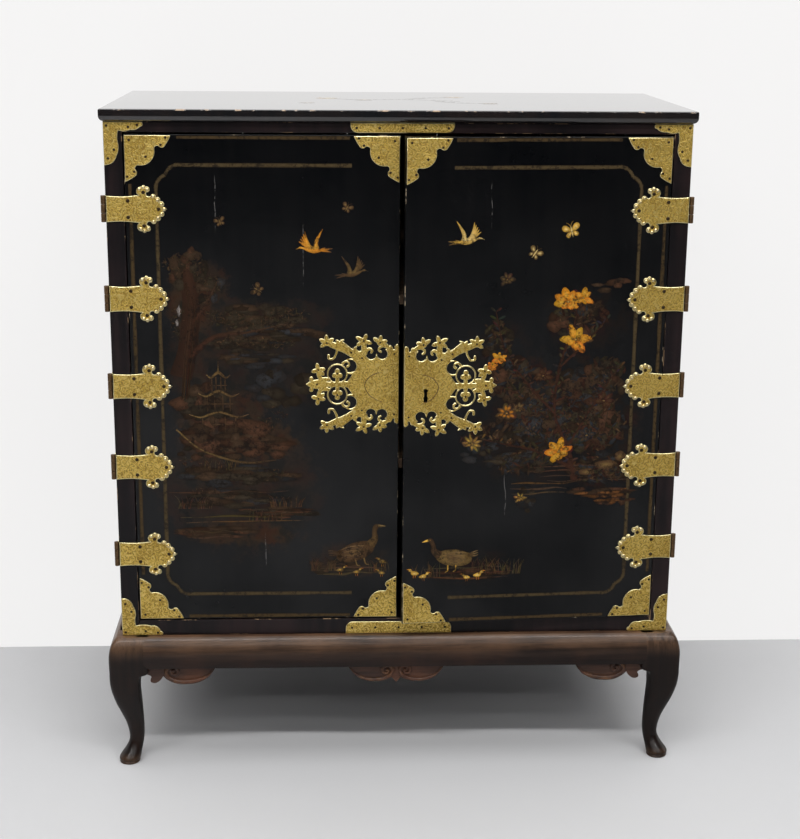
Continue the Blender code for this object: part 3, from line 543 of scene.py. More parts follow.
# The rails take the same walnut lightened more than four times over: painted light on the aprons, which sit under the
# moulding's overhang.
lit_rail_across, lit_rail_deep = walnut("lit_rail_across", along, 3.4), walnut("lit_rail_deep", deep, 3.4)
walnut_across, walnut_deep = walnut("walnut_across", along, 0.8), walnut("walnut_deep", deep, 0.8)
walnut_upright = walnut("walnut_upright", upright, 0.5)
stand_top = 0.240
rail_low, rail_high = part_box("front_rail")
rail_thick = rail_high.y - rail_low.y
case_front = rail_low.y + 0.008


def apron_half(reach, middle):
    """Half of a rail: its top, the clawed bracket and half moon beside the post, then its middle."""
    def spot(inset, drop):
        return (reach - inset / 1000, -drop / 1000)
    return trace(
        spot(-20.5, 0), spot(-20.5, 84.9), spot(-18, 84.9), (spot(-16.4, 77.2), spot(-12.5, 73.1)),
        (spot(-5, 70.6), spot(1.5, 72.4)), (spot(3.7, 74.2), spot(4.2, 76.4)), (spot(2.4, 80), spot(3.2, 84.8)),
        (spot(9, 86.6), spot(15.5, 84.5)), (spot(20.5, 80), spot(24.3, 73.6)),
        (spot(37.7, 84.6), spot(62, 89)), (spot(95.7, 81.2), spot(114.9, 60)), *middle)


def rail_beads(name, reach, face, with_middle):
    """The carved beads and volutes of one rail, drawn in the XZ plane with the face at y = face."""
    runs = [[(reach - inset, -drop, wide) for inset, drop, wide in mm((
        (112.5, 61, 1), (102, 73.5, 2.4), (88, 80, 3.6), (70, 83.6, 4.4), (53, 83.8, 4.4),
        (38.5, 79.2, 3.9), (30.6, 71.2, 3.5), (30.2, 62, 3.3), (37, 55.8, 3.2), (46, 56, 3.1),
        (51.2, 62.8, 3), (47.8, 69.6, 2.9), (41.2, 68.8, 2.8), (40.2, 63.5, 2.8), (44.6, 63.2, 3.1)))]]
    if with_middle:
        runs.append([(out, -drop, wide) for out, drop, wide in mm((
            (80.5, 61.2, 1), (70.5, 73.5, 2.2), (56, 81, 3.1), (40, 83.4, 3.4), (22, 81.2, 3.4),
            (10.8, 74.5, 3.4), (6.6, 66, 3.3), (9.2, 58.8, 3.2), (16.8, 56.6, 3.1), (24, 61.2, 3),
            (23.5, 69, 2.9), (17.2, 71.8, 2.8), (13.6, 66.8, 2.8), (17.4, 64, 3.1)))])
    made = []
    for run in runs:
        for side in (-1, 1):
            made.append(bead(name, [(side * x, face - 0.0006, z, wide) for x, z, wide in run]))
    return made


middle_runs = mm(((84, -59), ((70, -76), (38, -87)), ((18, -85), (8, -80)), (0, -89.6)))
for node, turn, finish in (
        ("front_rail", 0.0, lit_rail_across), ("left_rail", -1.0, lit_rail_deep), ("right_rail", 1.0, lit_rail_deep)):
    low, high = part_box(node)
    reach = (high.y - low.y if turn else high.x - low.x) / 2
    half = apron_half(reach, [] if turn else middle_runs)
    outline = half + [(-x, z) for x, z in reversed(half) if x]
    parts = [sawn(node + "_sawn", outline, rail_thick, 0.0009)]
    parts += rail_beads(node + "_bead", reach, -rail_thick / 2, not turn)
    rail = joined(node + "_carved", parts)
    rail.data.transform(Matrix.Rotation(turn * math.pi / 2, 4, "Z"))
    rail.data.transform(Matrix.Translation(((low.x + high.x) / 2, (low.y + high.y) / 2, stand_top)))
    mark_edges(rail)
    settle(rail, "case", "dark_walnut", finish, node)
settle(board("back_rail_board", *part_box("back_rail"), 0.0015), "case", "dark_walnut", walnut_across, "back_rail")


# The cushion mouldings: walnut run along the front and both sides of the stand, glued to the rails.
# They swell outwards below the case and die into the square heads of the front legs.
moulding_profile = trace(*mm((
    (8.3, 0), (9.8, 0), (10.5, -0.6), ((18.5, -12), (23.5, -36)), ((23.2, -47), (21.4, -54)), (8.3, -54))))
front_run_half, leg_head = 0.4380, 0.0370
case_width, case_depth = 0.950, 0.450
front_moulding = sawn("front_moulding_run", moulding_profile, case_width)
front_moulding.data.transform(Matrix.Rotation(-math.pi / 2, 4, "Z"))
for vertex in front_moulding.data.vertices:
    vertex.co.x = math.copysign(front_run_half, vertex.co.x)
front_moulding.data.transform(Matrix.Translation((0.0, case_front, stand_top)))
side_run = case_depth + 0.008
mouldings = [(front_moulding, "front_moulding", walnut_across)]
for node, side in (("left_moulding", -1), ("right_moulding", 1)):
    run = sawn(node + "_run", [(side * x, z) for x, z in moulding_profile], side_run)
    for vertex in run.data.vertices:
        if vertex.co.y < 0.0:
            vertex.co.y += leg_head
    run.data.transform(Matrix.Translation((side * case_width / 2, case_front + side_run / 2, stand_top)))
    mouldings.append((run, node, walnut_deep))
for run, node, finish in mouldings:
    tidy(run)
    bpy.ops.object.shade_smooth_by_angle(angle=math.radians(40))
    settle(run, "case", "dark_walnut", finish, node)


# The legs: short cabriole legs, each sawn and rasped from one walnut block with its square post.
# The knee runs on from the moulding, the ankle is slim, and the pad foot stands on a thin turned disc.
leg_rows = [
    (135.6, -3.4, 24, 4.2), (115, -6.7, 21.9, 3.5), (93.6, -11, 18.6, 3.0),
    (72.6, -14.8, 15.4, 2.6), (52.2, -16.8, 13.4, 2.3), (37.9, -16.3, 12.8, 2.1),
    (26.9, -13, 14.2, 2.0), (17.3, -8.4, 16.8, 2.0), (10.5, -5.4, 18.6, 2.0),
    (6.8, -4.7, 18.4, 2.0), (5.2, -4.6, 17.2, 2.0), (4.2, -4.6, 17, 2.0),
    (3, -4.6, 17.9, 2.0), (0.8, -4.6, 17.6, 2.0), (0, -4.6, 16.4, 2.0)]
knee_rows = [
    (177.5, 23.6, -45, 9.0), (174.2, 23.6, -42.5, 8.5), (172.8, 23.6, -38, 8.0), (170.8, 23.6, -32.8, 7.5),
    (166.5, 23.6, -29.2, 7.0), (160, 23.5, -27.7, 6.0), (150, 22.9, -27.6, 5.0)]
head_rows = [
    (240, 10.1, -45, 9.0), (239.4, 10.7, -45, 9.0), (234, 15.3, -45, 9.0), (228, 18.8, -45, 9.0),
    (220, 21.5, -45, 9.0), (212, 23, -45, 9.0), (204, 23.7, -45, 9.0), (193, 23.8, -45, 9.0),
    (185.7, 23.7, -45, 9.0)]
leg_sides = 48


def cabriole(name, upper):
    """One leg about its case corner, lofted from rounded squares.

    A row gives a height, a middle, a half width and a squareness, or in the upper rows an outer and an inner reach
    in place of the middle and the half width; lengths are in millimetres.
    """
    rows = [(height, (outer + inner) / 2, (outer - inner) / 2, square) for height, outer, inner, square in upper]
    points, faces = [], []
    for height, shift, half, square in flow(rows + leg_rows, 4):
        for step in range(leg_sides):
            angle = math.tau * (step + 0.5) / leg_sides
            wide, long = (
                math.copysign(abs(part) ** (2 / square), part) for part in (math.cos(angle), math.sin(angle)))
            points.append((*mm((shift + half * wide, shift + half * long)), min(max(mm(height), 0.0), stand_top)))
    for start in range(0, len(points) - leg_sides, leg_sides):
        for step in range(leg_sides):
            after = (step + 1) % leg_sides
            faces.append((start + step, start + after, start + leg_sides + after, start + leg_sides + step))
    faces += [list(range(leg_sides)), list(range(len(points) - leg_sides, len(points)))]
    leg = new_piece(name, points, faces)
    bpy.ops.object.shade_smooth_by_angle(angle=math.radians(45))
    return leg


for node, side, end in (("front_left_leg", -1, -1), ("front_right_leg", 1, -1),
                        ("rear_left_leg", -1, 1), ("rear_right_leg", 1, 1)):
    if end < 0:
        leg = cabriole(node + "_cabriole", head_rows + knee_rows)
    else:
        post = board(node + "_post", (-0.0450, -0.0450, 0.1700), (0.0080, 0.0080, stand_top), 0.0010)
        leg = joined(node + "_cabriole", [cabriole(node + "_cabriole", [(185.7, 23.6, -45, 9.0)] + knee_rows), post])
    corner_y = case_front if end < 0 else case_front + case_depth
    leg.data.transform(Matrix.Diagonal((side, end, 1.0, 1.0)))
    leg.data.transform(Matrix.Translation((side * case_width / 2, corner_y, 0.0)))
    tidy(leg)
    settle(leg, "case", "dark_walnut", walnut_upright, node)


# The doors: two flat boards japanned like the case, the right one standing a little open.
# The ground is almost black, hazed brown where old colours have rubbed away, with fine upright cracks.
def door_japan(name, hazes, cracks, earths):
    """Door japan with hazes (x, z, half width, half height, strength) of earths and cracks (x, low z, high z)."""
    material, shader, place = new_finish(name)
    x, z = place.axis("X"), place.axis("Z")
    cloud = mottle(place, 9.0, 6.0, 0.6)
    fine = mottle(place, 75.0, 6.0, 0.65)
    streak = mottle(place, 90.0, 3.0, 0.5, (1.0, 1.0, 0.04))
    speck = mottle(place, 700.0, 2.0)
    haze = cloud * 0.0
    for middle_x, middle_z, half_x, half_z, strength in hazes:
        across = (x - middle_x) / half_x
        up = (z - middle_z) / half_z
        haze = haze.maths("MAXIMUM", ease(across * across + up * up + (fine - 0.5) * 2.4, 1.0, 0.5) * strength)
    front = place.mark("front")
    haze = haze * ease(fine * 0.7 + cloud * 0.3, 0.26, 0.56) * front
    hue = mottle(place, 33.0, 3.0)
    earth = blend(ease(hue, 0.54, 0.62), blend(ease(hue, 0.42, 0.50), earths[0], earths[1]), earths[2])
    split = cloud * 0.0
    for crack_x, low_z, high_z in cracks:
        off = (x - crack_x + (mottle(place, 16.0, 2.0) - 0.5) * 0.010).maths("ABSOLUTE", 0.0)
        inside = ease(z, low_z - 0.01, low_z + 0.01) * ease(z, high_z + 0.01, high_z - 0.01)
        split = split.maths("MAXIMUM", ease(off, 0.0007, 0.0002) * inside * ease(fine, 0.44, 0.54) * front)
    chips = ease(mottle(place, 34.0, 7.0, 0.7), 0.58, 0.63) * place.mark("edge")
    flecks = ease(mottle(place, 130.0, 6.0, 0.75), 0.735, 0.75)
    worn = chips.maths("MAXIMUM", flecks * 0.6)
    thin = ease(cloud * 0.5 + streak * 0.5, 0.35, 0.68) * 0.7
    body = blend(thin, (0.0008, 0.0011, 0.0016), (0.0030, 0.0028, 0.0030))
    body = blend(haze * 0.6, body, earth)
    body = blend(split * 0.65, body, (0.20, 0.19, 0.18))
    body = blend(worn, body, (0.42, 0.33, 0.22))
    bloom = ease(mottle(place, 4.5, 6.0, 0.6), 0.30, 0.70)
    relief = streak * 0.4 + fine * 0.12 + speck * 0.08 + haze * 0.3 - worn * 0.6 - split * 0.8
    dress(shader, place, {
        "Base Color": body, "Roughness": 0.20 + 0.10 * cloud + 0.10 * fine + 0.35 * worn + 0.15 * haze,
        "Specular IOR Level": 0.10, "Coat Weight": (0.26 + 0.34 * bloom) * (1.0 - 0.9 * haze),
        "Coat Roughness": 0.16}, 0.10, 0.001, relief)
    return material


door_front, door_back = -0.219369, -0.199369
door_low, door_high = 0.2703, 1.0993
free_edges = {"left_door": 0.00095, "right_door": 0.00645}
outer_edges = {"left_door": -0.4435, "right_door": 0.4435}
ajar = math.radians(4.0)
right_pin = Vector((0.4791, -0.217369, 0.0))
open_right = Matrix.Translation(right_pin) @ Matrix.Rotation(ajar, 4, "Z") @ Matrix.Translation(-right_pin)


def hang(piece, body):
    """Turn a piece made on the closed right door to where that door stands at rest."""
    if body == "right_door":
        piece.data.transform(open_right)


def hole_cutters(rod_radius, rod_length, rod_spot, rod_turn, slot_spot, slot_size):
    """A round cutter and a square one, for a hole and its slot."""
    round_cutter = rod(rod_radius, rod_length, rod_spot, rod_turn)
    bpy.ops.mesh.primitive_cube_add(size=1.0, location=slot_spot)
    bpy.context.object.scale = slot_size
    return [round_cutter, bpy.context.object]


def keyhole_cutters():
    """The keyhole through the right door and its lock plate: two rounds and the slot between."""
    x, z, through = free_edges["right_door"] + 0.0362, 0.6908, 0.06
    made = []
    for round_radius, round_drop, slot_drop, slot_wide, slot_tall in (
            (0.0037, 0.0072, 0.0150, 0.0050, 0.0150), (0.0040, 0.0200, 0.0235, 0.0064, 0.0064)):
        made += hole_cutters(round_radius, through, (x, door_front, z - round_drop), math.pi / 2,
                             (x, door_front, z - slot_drop), (slot_wide, through, slot_tall))
    return made


def bolt_cutters():
    """The left door's bore for its bolt, and the slot at the back for the bolt's knob."""
    x, y = free_edges["left_door"] - 0.030, (door_front + door_back) / 2
    return hole_cutters(
        0.0043, 0.3026, (x, y, door_high), 0.0, (x, y + 0.010, door_high - 0.0850), (0.0076, 0.020, 0.0196))


left_japan = door_japan(
    "left_door_japan",
    ((-0.345, 0.825, 0.040, 0.080, 1.0), (-0.318, 0.850, 0.050, 0.045, 0.6), (-0.255, 0.780, 0.120, 0.060, 0.55),
     (-0.330, 0.720, 0.060, 0.080, 0.60), (-0.295, 0.620, 0.085, 0.085, 0.9), (-0.265, 0.590, 0.110, 0.050, 1.0),
     (-0.270, 0.500, 0.125, 0.045, 0.55), (-0.265, 0.425, 0.110, 0.026, 0.95), (-0.080, 0.375, 0.075, 0.035, 0.50),
     (-0.165, 0.800, 0.060, 0.035, 0.30), (-0.265, 0.510, 0.150, 0.130, 0.50), (-0.220, 0.720, 0.150, 0.090, 0.35)),
    ((-0.300, 0.95, 1.03), (-0.158, 0.86, 0.95), (-0.225, 0.36, 0.42)),
    ((0.022, 0.017, 0.011), (0.052, 0.028, 0.014), (0.058, 0.022, 0.009)))
right_japan = door_japan("right_door_japan", (
    (0.275, 0.660, 0.125, 0.100, 0.80), (0.205, 0.600, 0.095, 0.075, 0.60), (0.345, 0.620, 0.070, 0.090, 0.70),
    (0.310, 0.800, 0.085, 0.060, 0.45), (0.165, 0.745, 0.060, 0.065, 0.40), (0.350, 0.535, 0.065, 0.035, 1.0),
    (0.125, 0.372, 0.085, 0.035, 0.50), (0.240, 0.545, 0.100, 0.035, 0.50)),
    ((0.182, 0.46, 0.53), (0.148, 0.96, 1.02), (0.395, 0.50, 0.60)),
    ((0.014, 0.014, 0.014), (0.024, 0.013, 0.007), (0.032, 0.010, 0.006)))
for node, finish in (("left_door", left_japan), ("right_door", right_japan)):
    left_x, right_x = sorted((free_edges[node], outer_edges[node]))
    panel = board(node + "_panel", (left_x, door_front, door_low), (right_x, door_back, door_high), 0.0011)
    cut_away(panel, keyhole_cutters() if node == "right_door" else bolt_cutters())
    fronts = panel.data.attributes.new("front", "FLOAT", "FACE")
    for face, mark in zip(panel.data.polygons, fronts.data):
        mark.value = float(face.normal.y < -0.9)
    hang(panel, node)
    settle(panel, node, "black_lacquer", finish, node)


# The painting on the doors and the top: gilt border lines and raised figures of birds, flowers and trees.
# Gesso is built up dab by dab on the japan, then gilded or coloured, and has worn thin in places.
paint_gap, flat_lift = 0.00004, 0.2


class Brushwork:
    """Raised dabs and strokes on a closed door or a level board, in one mesh; each point carries its paint."""

    def __init__(self, level=None):
        self.points, self.faces, self.tints, self.level = [], [], [], level

    def lay(self, spots, faces, tints):
        """Add faces on spots (x, z, lift), or (x, y, lift) on a level board, with one tint to each spot."""
        first = len(self.points)
        if self.level is None:
            self.points += [(x, door_front - paint_gap - lift, z) for x, z, lift in spots]
        else:
            self.points += [(x, y, self.level + paint_gap + flat_lift * lift) for x, y, lift in spots]
        self.faces += [[first + corner for corner in face] for face in faces]
        self.tints += [(*tint, 1.0) for tint in tints]

    def dab(self, rim, tint, heart=None, lift=0.0006):
        """A domed spot of paint inside a rim, its heart in another tint."""
        count = len(rim)
        middle = np.mean(np.array(rim), axis=0)
        inner = [0.6 * np.array(spot) + 0.4 * middle for spot in rim]
        spots = [(*spot, 0.0) for spot in rim] + [(*spot, 0.75 * lift) for spot in inner] + [(*middle, lift)]
        faces = [list(range(count))]
        for step in range(count):
            after = (step + 1) % count
            faces += [[step, after, count + after, count + step], [count + step, count + after, 2 * count]]
        edge = [0.55 * part for part in tint]
        self.lay(spots, faces, [edge] * count + [tint] * count + [heart or tint])

    def stroke(self, stops, tint, end=None, lift=0.0005, steps=5):
        """A tapered stroke through stops (x, z, half width), from one tint to another."""
        rows = flow(stops, steps)
        away = np.gradient(rows[:, :2], axis=0)
        away /= np.maximum(np.linalg.norm(away, axis=1, keepdims=True), 1e-9)
        side = np.stack([-away[:, 1], away[:, 0]], axis=1) * np.maximum(rows[:, 2:3], 0.00008)
        spots, tints, faces = [], [], []
        for share, spot, off in zip(np.linspace(0, 1, len(rows)), rows[:, :2], side):
            spots += [(*(spot + off), 0.0), (*spot, lift), (*(spot - off), 0.0)]
            paint = [a + share * (b - a) for a, b in zip(tint, end or tint)]
            edge = [0.6 * part for part in paint]
            tints += [edge, paint, edge]
        for a in range(0, 3 * len(rows) - 3, 3):
            b = a + 3
            faces += [[a, a + 1, b + 1, b], [a + 1, a + 2, b + 2, b + 1], [a + 2, a, b, b + 2]]
        last = 3 * len(rows) - 3
        self.lay(spots, faces + [[0, 2, 1], [last, last + 1, last + 2]], tints)

    def hang_on(self, name, body, finish):
        """The finished mesh, fixed to its door or to the top."""
        mesh = bpy.data.meshes.new(name)
        mesh.from_pydata(self.points, [], self.faces)
        mesh.attributes.new("paint", "FLOAT_COLOR", "POINT").data.foreach_set("color", np.ravel(self.tints))
        piece = linked(name, mesh)
        in_edit(piece, (bpy.ops.mesh.normals_make_consistent, {"inside": False}))
        bpy.ops.object.shade_smooth_by_angle(angle=math.radians(60))
        hang(piece, body)
        settle(piece, body, "black_lacquer", finish)


def drawn_at(x, z, size, angle=0.0, mirror=1):
    """A way to draw in units of a size, turned by degrees, at a spot on a door."""
    cos, sin = math.cos(math.radians(angle)), math.sin(math.radians(angle))

    def spot(a, b, wide=None):
        a = a * mirror
        place = (x + size * (a * cos - b * sin), z + size * (a * sin + b * cos))
        return place if wide is None else (*place, wide * size)
    return spot


def petal(spot, angle, near, far, wide, points=10, blunt=0.25):
    """The rim of a petal or leaf that points away from a middle, widest towards a blunt tip."""
    cos, sin = math.cos(math.radians(angle)), math.sin(math.radians(angle))
    rim = []
    for step in range(points):
        turn = math.tau * step / points
        out = near + (far - near) * (0.5 - 0.5 * math.cos(turn))
        off = wide * math.sin(turn) * (0.75 - blunt * math.cos(turn))
        rim.append(spot(out * cos - off * sin, out * sin + off * cos))
    return rim


def flying_bird(brush, spot, body, pale, dark):
    """A bird in flight: two raised wings of long feathers, a forked tail and a stretched neck."""
    for far_a, far_b, wide in ((-0.30, 0.02, 0.030), (-0.52, -0.06, 0.028), (-0.46, -0.16, 0.026)):
        brush.stroke(
            [spot(-0.10, -0.03, wide), spot(0.5 * far_a - 0.08, 0.5 * far_b - 0.02, wide), spot(far_a, far_b, 0.006)],
            body, dark)
    for wing, (root, tip) in enumerate((((0.02, 0.03), (-0.22, 0.58)), ((0.12, 0.05), (0.20, 0.62)))):
        for feather in range(5):
            share = feather / 4
            end_a = tip[0] + (0.24 * share if wing else 0.22 * share - 0.12)
            end_b = tip[1] * (1.0 - 0.42 * share)
            start_a = root[0] - 0.10 * share
            middle = (0.55 * start_a + 0.45 * end_a + 0.05, 0.55 * root[1] + 0.45 * end_b)
            brush.stroke([spot(start_a, root[1], 0.045), spot(*middle, 0.052), spot(end_a, end_b, 0.008)],
                         [part * (1.0 - 0.35 * share) for part in pale], body, 0.0006)
    brush.stroke([spot(-0.22, -0.05, 0.02), spot(0.02, 0.0, 0.085), spot(0.20, 0.05, 0.060), spot(0.36, 0.14, 0.030),
                  spot(0.44, 0.17, 0.034), spot(0.50, 0.165, 0.012), spot(0.58, 0.15, 0.003)], body, pale, 0.0008)


def butterfly(brush, spot, tint, pale):
    """Two pairs of wings about a thin body."""
    for angle, far, wide in ((35, 0.52, 0.20), (145, 0.52, 0.20), (-40, 0.38, 0.15), (-140, 0.38, 0.15)):
        brush.dab(petal(spot, angle, 0.03, far, wide), tint, pale)
    brush.stroke([spot(0.0, -0.30, 0.01), spot(0.0, 0.0, 0.05), spot(0.0, 0.26, 0.02)], pale)
    for side in (-1, 1):
        brush.stroke([spot(0.0, 0.24, 0.012), spot(side * 0.08, 0.38, 0.010), spot(side * 0.18, 0.46, 0.006)], tint)


def blossom(brush, chance, spot, petals, tint, pale, heart):
    """A flower half turned away: pointed petals fanned up from the cup, two short ones below, and stamens."""
    fan = [
        (-20.0 + 220.0 * turn / (petals - 1) + chance.uniform(-9.0, 9.0), chance.uniform(0.46, 0.62))
        for turn in range(petals)]
    chance.shuffle(fan)
    for angle, far in [(232.0, 0.34), (305.0, 0.36)] + fan:
        wide = chance.uniform(0.17, 0.23) if petals < 7 else 0.12
        brush.dab(
            petal(spot, angle, 0.0, far, wide, 12, -0.16), [chance.uniform(0.75, 1.1) * part for part in tint], pale,
            0.0010)
        cos, sin = math.cos(math.radians(angle)), math.sin(math.radians(angle))
        brush.stroke([spot(0.08 * cos, 0.08 * sin, 0.014), spot(0.75 * far * cos, 0.75 * far * sin, 0.004)],
                     [0.45 * part for part in tint], None, 0.0012, 3)
    brush.dab(petal(spot, 0.0, -0.08, 0.08, 0.07), heart, pale, 0.0014)


def foliage(brush, chance, x, z, half_x, half_z, count, size, tints):
    """Leaves scattered over an oval, thinner towards its rim."""
    for _ in range(count):
        angle, out = chance.uniform(0.0, math.tau), chance.random() ** 0.6
        leaf_x, leaf_z = x + half_x * out * math.cos(angle), z + half_z * out * math.sin(angle)
        long = size * chance.uniform(0.6, 1.25)
        tint = chance.choice(tints)
        light = chance.uniform(0.3, 0.85)
        tint = [light * part for part in tint]
        spot = drawn_at(leaf_x, leaf_z, long)
        brush.dab(petal(spot, chance.uniform(0.0, 360.0), -0.5, 0.5, chance.uniform(0.14, 0.26), 6), tint,
                  [1.6 * part for part in tint], 0.00035)


def rough_oval(chance, x, z, half_x, half_z, points, x_range, z_range):
    """The rim of an oval drawn by an unsteady hand."""
    rim = []
    for turn in np.linspace(0.0, math.tau, points, endpoint=False):
        across = half_x * math.cos(turn) * chance.uniform(*x_range)
        rim.append((x + across, z + half_z * math.sin(turn) * chance.uniform(*z_range)))
    return rim


def mass(brush, chance, x, z, half_x, half_z, count, tints):
    """A clump of overlapping soft dabs for rocks, thickets and far trees."""
    for step in range(count):
        angle, out = chance.uniform(0.0, math.tau), 0.8 * math.sqrt(chance.random())
        middle_x, middle_z = x + half_x * out * math.cos(angle), z + half_z * out * math.sin(angle)
        wide, tall = half_x * chance.uniform(0.14, 0.34), half_z * chance.uniform(0.16, 0.38)
        light, tint = chance.uniform(0.35, 1.1), chance.choice(tints)
        brush.dab(
            rough_oval(chance, middle_x, middle_z, wide, tall, 12, (0.7, 1.15), (0.7, 1.15)),
            [light * part for part in tint], [1.5 * light * part for part in tint], 0.0001 + 0.0002 * step / count)


def twig(brush, chance, stops, tint, leaf, leaf_tints):
    """A bough with leaves along it."""
    brush.stroke(stops, tint, [0.6 * part for part in tint])
    for x, z, _ in flow(stops, 5)[2:]:
        for side in (-1, 1):
            angle = chance.uniform(20.0, 75.0) * side + 90.0
            shade = [chance.uniform(0.6, 1.3) * part for part in chance.choice(leaf_tints)]
            brush.dab(
                petal(drawn_at(x, z, leaf), angle, 0.05, chance.uniform(0.7, 1.2), 0.22, 7), shade, None, 0.0004)


def grass(brush, chance, x, z, half, count, tall, tint):
    """Blades that rise from a bank and lean apart."""
    for _ in range(count):
        foot = x + chance.uniform(-half, half)
        lean = chance.uniform(-0.5, 0.5)
        high = tall * chance.uniform(0.45, 1.0)
        shade = [chance.uniform(0.6, 1.2) * part for part in tint]
        brush.stroke(
            [(foot, z, 0.0007), (foot + 0.3 * lean * high, z + 0.6 * high, 0.0006),
             (foot + lean * high, z + high, 0.0001)], shade, None, 0.0003, 3)


def bank(brush, chance, x, z, half, rows, tint):
    """Low lines of earth and stones, one above another."""
    for row in range(rows):
        left = x - half * chance.uniform(0.6, 1.0)
        right = x + half * chance.uniform(0.6, 1.0)
        level = z + 0.009 * row
        stops = []
        for share in (0.0, 0.2, 0.4, 0.6, 0.8, 1.0):
            wide = chance.uniform(0.0006, 0.0022) * math.sin(math.pi * (0.06 + 0.88 * share))
            stops.append((left + share * (right - left), level + chance.uniform(-0.0025, 0.0025), wide))
        brush.stroke(stops, [chance.uniform(0.6, 1.2) * part for part in tint], None, 0.0003)


def water_bird(brush, spot, back, breast, dark, beak):
    """A goose or duck on its feet: full breast, folded wing of long feathers, raised neck."""
    brush.dab([spot(0.50 * math.cos(turn) - 0.02, 0.25 * math.sin(turn) + 0.07 * math.cos(turn)) for turn in
               np.linspace(0.0, math.tau, 22, endpoint=False)], back, breast, 0.0012)
    for feather in range(6):
        level = 0.13 - 0.055 * feather
        brush.stroke(
            [spot(0.22 - 0.03 * feather, level, 0.020), spot(-0.12, level + 0.02, 0.034),
             spot(-0.46 - 0.02 * (feather % 3), level * 0.5 + 0.03, 0.006)], dark if feather % 2 else breast, back,
            0.0015)
    for rise in (0.10, 0.04, -0.02):
        brush.stroke(
            [spot(-0.40, 0.02, 0.040), spot(-0.58, rise + 0.02, 0.026), spot(-0.70, rise + 0.05, 0.004)], dark, back,
            0.0010)
    brush.stroke([spot(0.36, 0.10, 0.13), spot(0.52, 0.26, 0.085), spot(0.54, 0.44, 0.060), spot(0.60, 0.56, 0.070),
                  spot(0.66, 0.57, 0.050)], breast, dark, 0.0015)
    brush.stroke([spot(0.66, 0.575, 0.042), spot(0.76, 0.555, 0.026), spot(0.84, 0.54, 0.008)], beak, None, 0.0014)
    brush.dab(
        [spot(0.615 + 0.018 * math.cos(turn), 0.585 + 0.018 * math.sin(turn)) for turn in range(6)], beak, None,
        0.0019)
    for foot in (-0.06, 0.16):
        brush.stroke(
            [spot(foot, -0.20, 0.022), spot(foot + 0.02, -0.36, 0.016), spot(foot + 0.10, -0.40, 0.006)], beak)


def chick(brush, spot, tint, pale, beak):
    """A chick: round body, round head, small beak and feet."""
    brush.dab(petal(spot, 8.0, -0.42, 0.40, 0.30), tint, pale, 0.0009)
    brush.dab(petal(spot, 35.0, 0.28, 0.70, 0.20), tint, pale, 0.0010)
    brush.stroke([spot(0.55, 0.42, 0.06), spot(0.78, 0.40, 0.01)], beak)
    for foot in (-0.08, 0.12):
        brush.stroke([spot(foot, -0.24, 0.03), spot(foot + 0.03, -0.48, 0.02)], beak)


def gilt_lines(brush, door, chance):
    """Two border lines: a narrow one at the door's edge, and one further in with hollowed corners."""
    outer_x, free_x = outer_edges[door], free_edges[door]
    side = 1.0 if outer_x > 0 else -1.0
    line, faint = (0.092, 0.065, 0.030), (0.080, 0.052, 0.022)

    def run(path, half, tint):
        for (ax, az), (bx, bz) in zip(path, path[1:]):
            stops = []
            for share in np.linspace(0.0, 1.0, max(2, int(math.dist((ax, az), (bx, bz)) / 0.03) + 1)):
                stops.append((ax + share * (bx - ax), az + share * (bz - az), half * chance.uniform(0.75, 1.15)))
            brush.stroke(stops, tint, None, 0.00015, 1)
    edge_x = outer_x - side * 0.0085
    run([(edge_x, 0.352), (edge_x, 1.020)], 0.0030, faint)
    for level in (1.0945, 0.2752):
        run([(outer_x - side * 0.085, level), (free_x + side * 0.082, level)], 0.0030, faint)
    x, low, high = outer_x - side * 0.0500, 0.3160, 1.0505
    for level, way in ((low, 1), (high, -1)):
        def spot(inset, rise):
            return (x - side * inset, level + way * rise)
        corner = trace(
            spot(0.0, 0.041), (spot(0.0036, 0.025), spot(0.0154, 0.0159)), (spot(0.0230, 0.0045), spot(0.0427, 0.0)))
        run(corner, 0.0030, line)
        run([corner[-1], (free_x + side * 0.079, level)], 0.0030, line)
    run([(x, low + 0.041), (x, high - 0.041)], 0.0031, line)


gilt_paint, shader, place = new_finish("gilt_paint")
crumble = mottle(place, 170.0, 7.0, 0.7)
cloud = mottle(place, 38.0, 4.0)
worn = ease(crumble * 0.65 + cloud * 0.35, 0.50, 0.60)
tone = blend(ease(crumble, 0.35, 0.65) * 0.45, place.mark("paint", "Color"), (0.030, 0.016, 0.008))
dress(shader, place, {
    "Base Color": blend(worn * 0.75, tone, (0.009, 0.007, 0.006)), "Roughness": 0.34 + 0.22 * crumble,
    "Metallic": 0.25, "Specular IOR Level": 0.12}, 0.25, 0.0006, crumble)

gold, orange, pale_gold = (0.70, 0.40, 0.060), (0.76, 0.27, 0.018), (0.92, 0.68, 0.26)
dull_gold, umber, sepia = (0.20, 0.125, 0.042), (0.100, 0.054, 0.024), (0.058, 0.033, 0.018)
oxblood, moss, slate = (0.060, 0.022, 0.013), (0.046, 0.038, 0.017), (0.024, 0.029, 0.034)
rust, earth = (0.066, 0.030, 0.016), (0.050, 0.029, 0.016)
dusk, shade = (0.026, 0.028, 0.030), (0.034, 0.026, 0.016)
chance = random.Random(11)

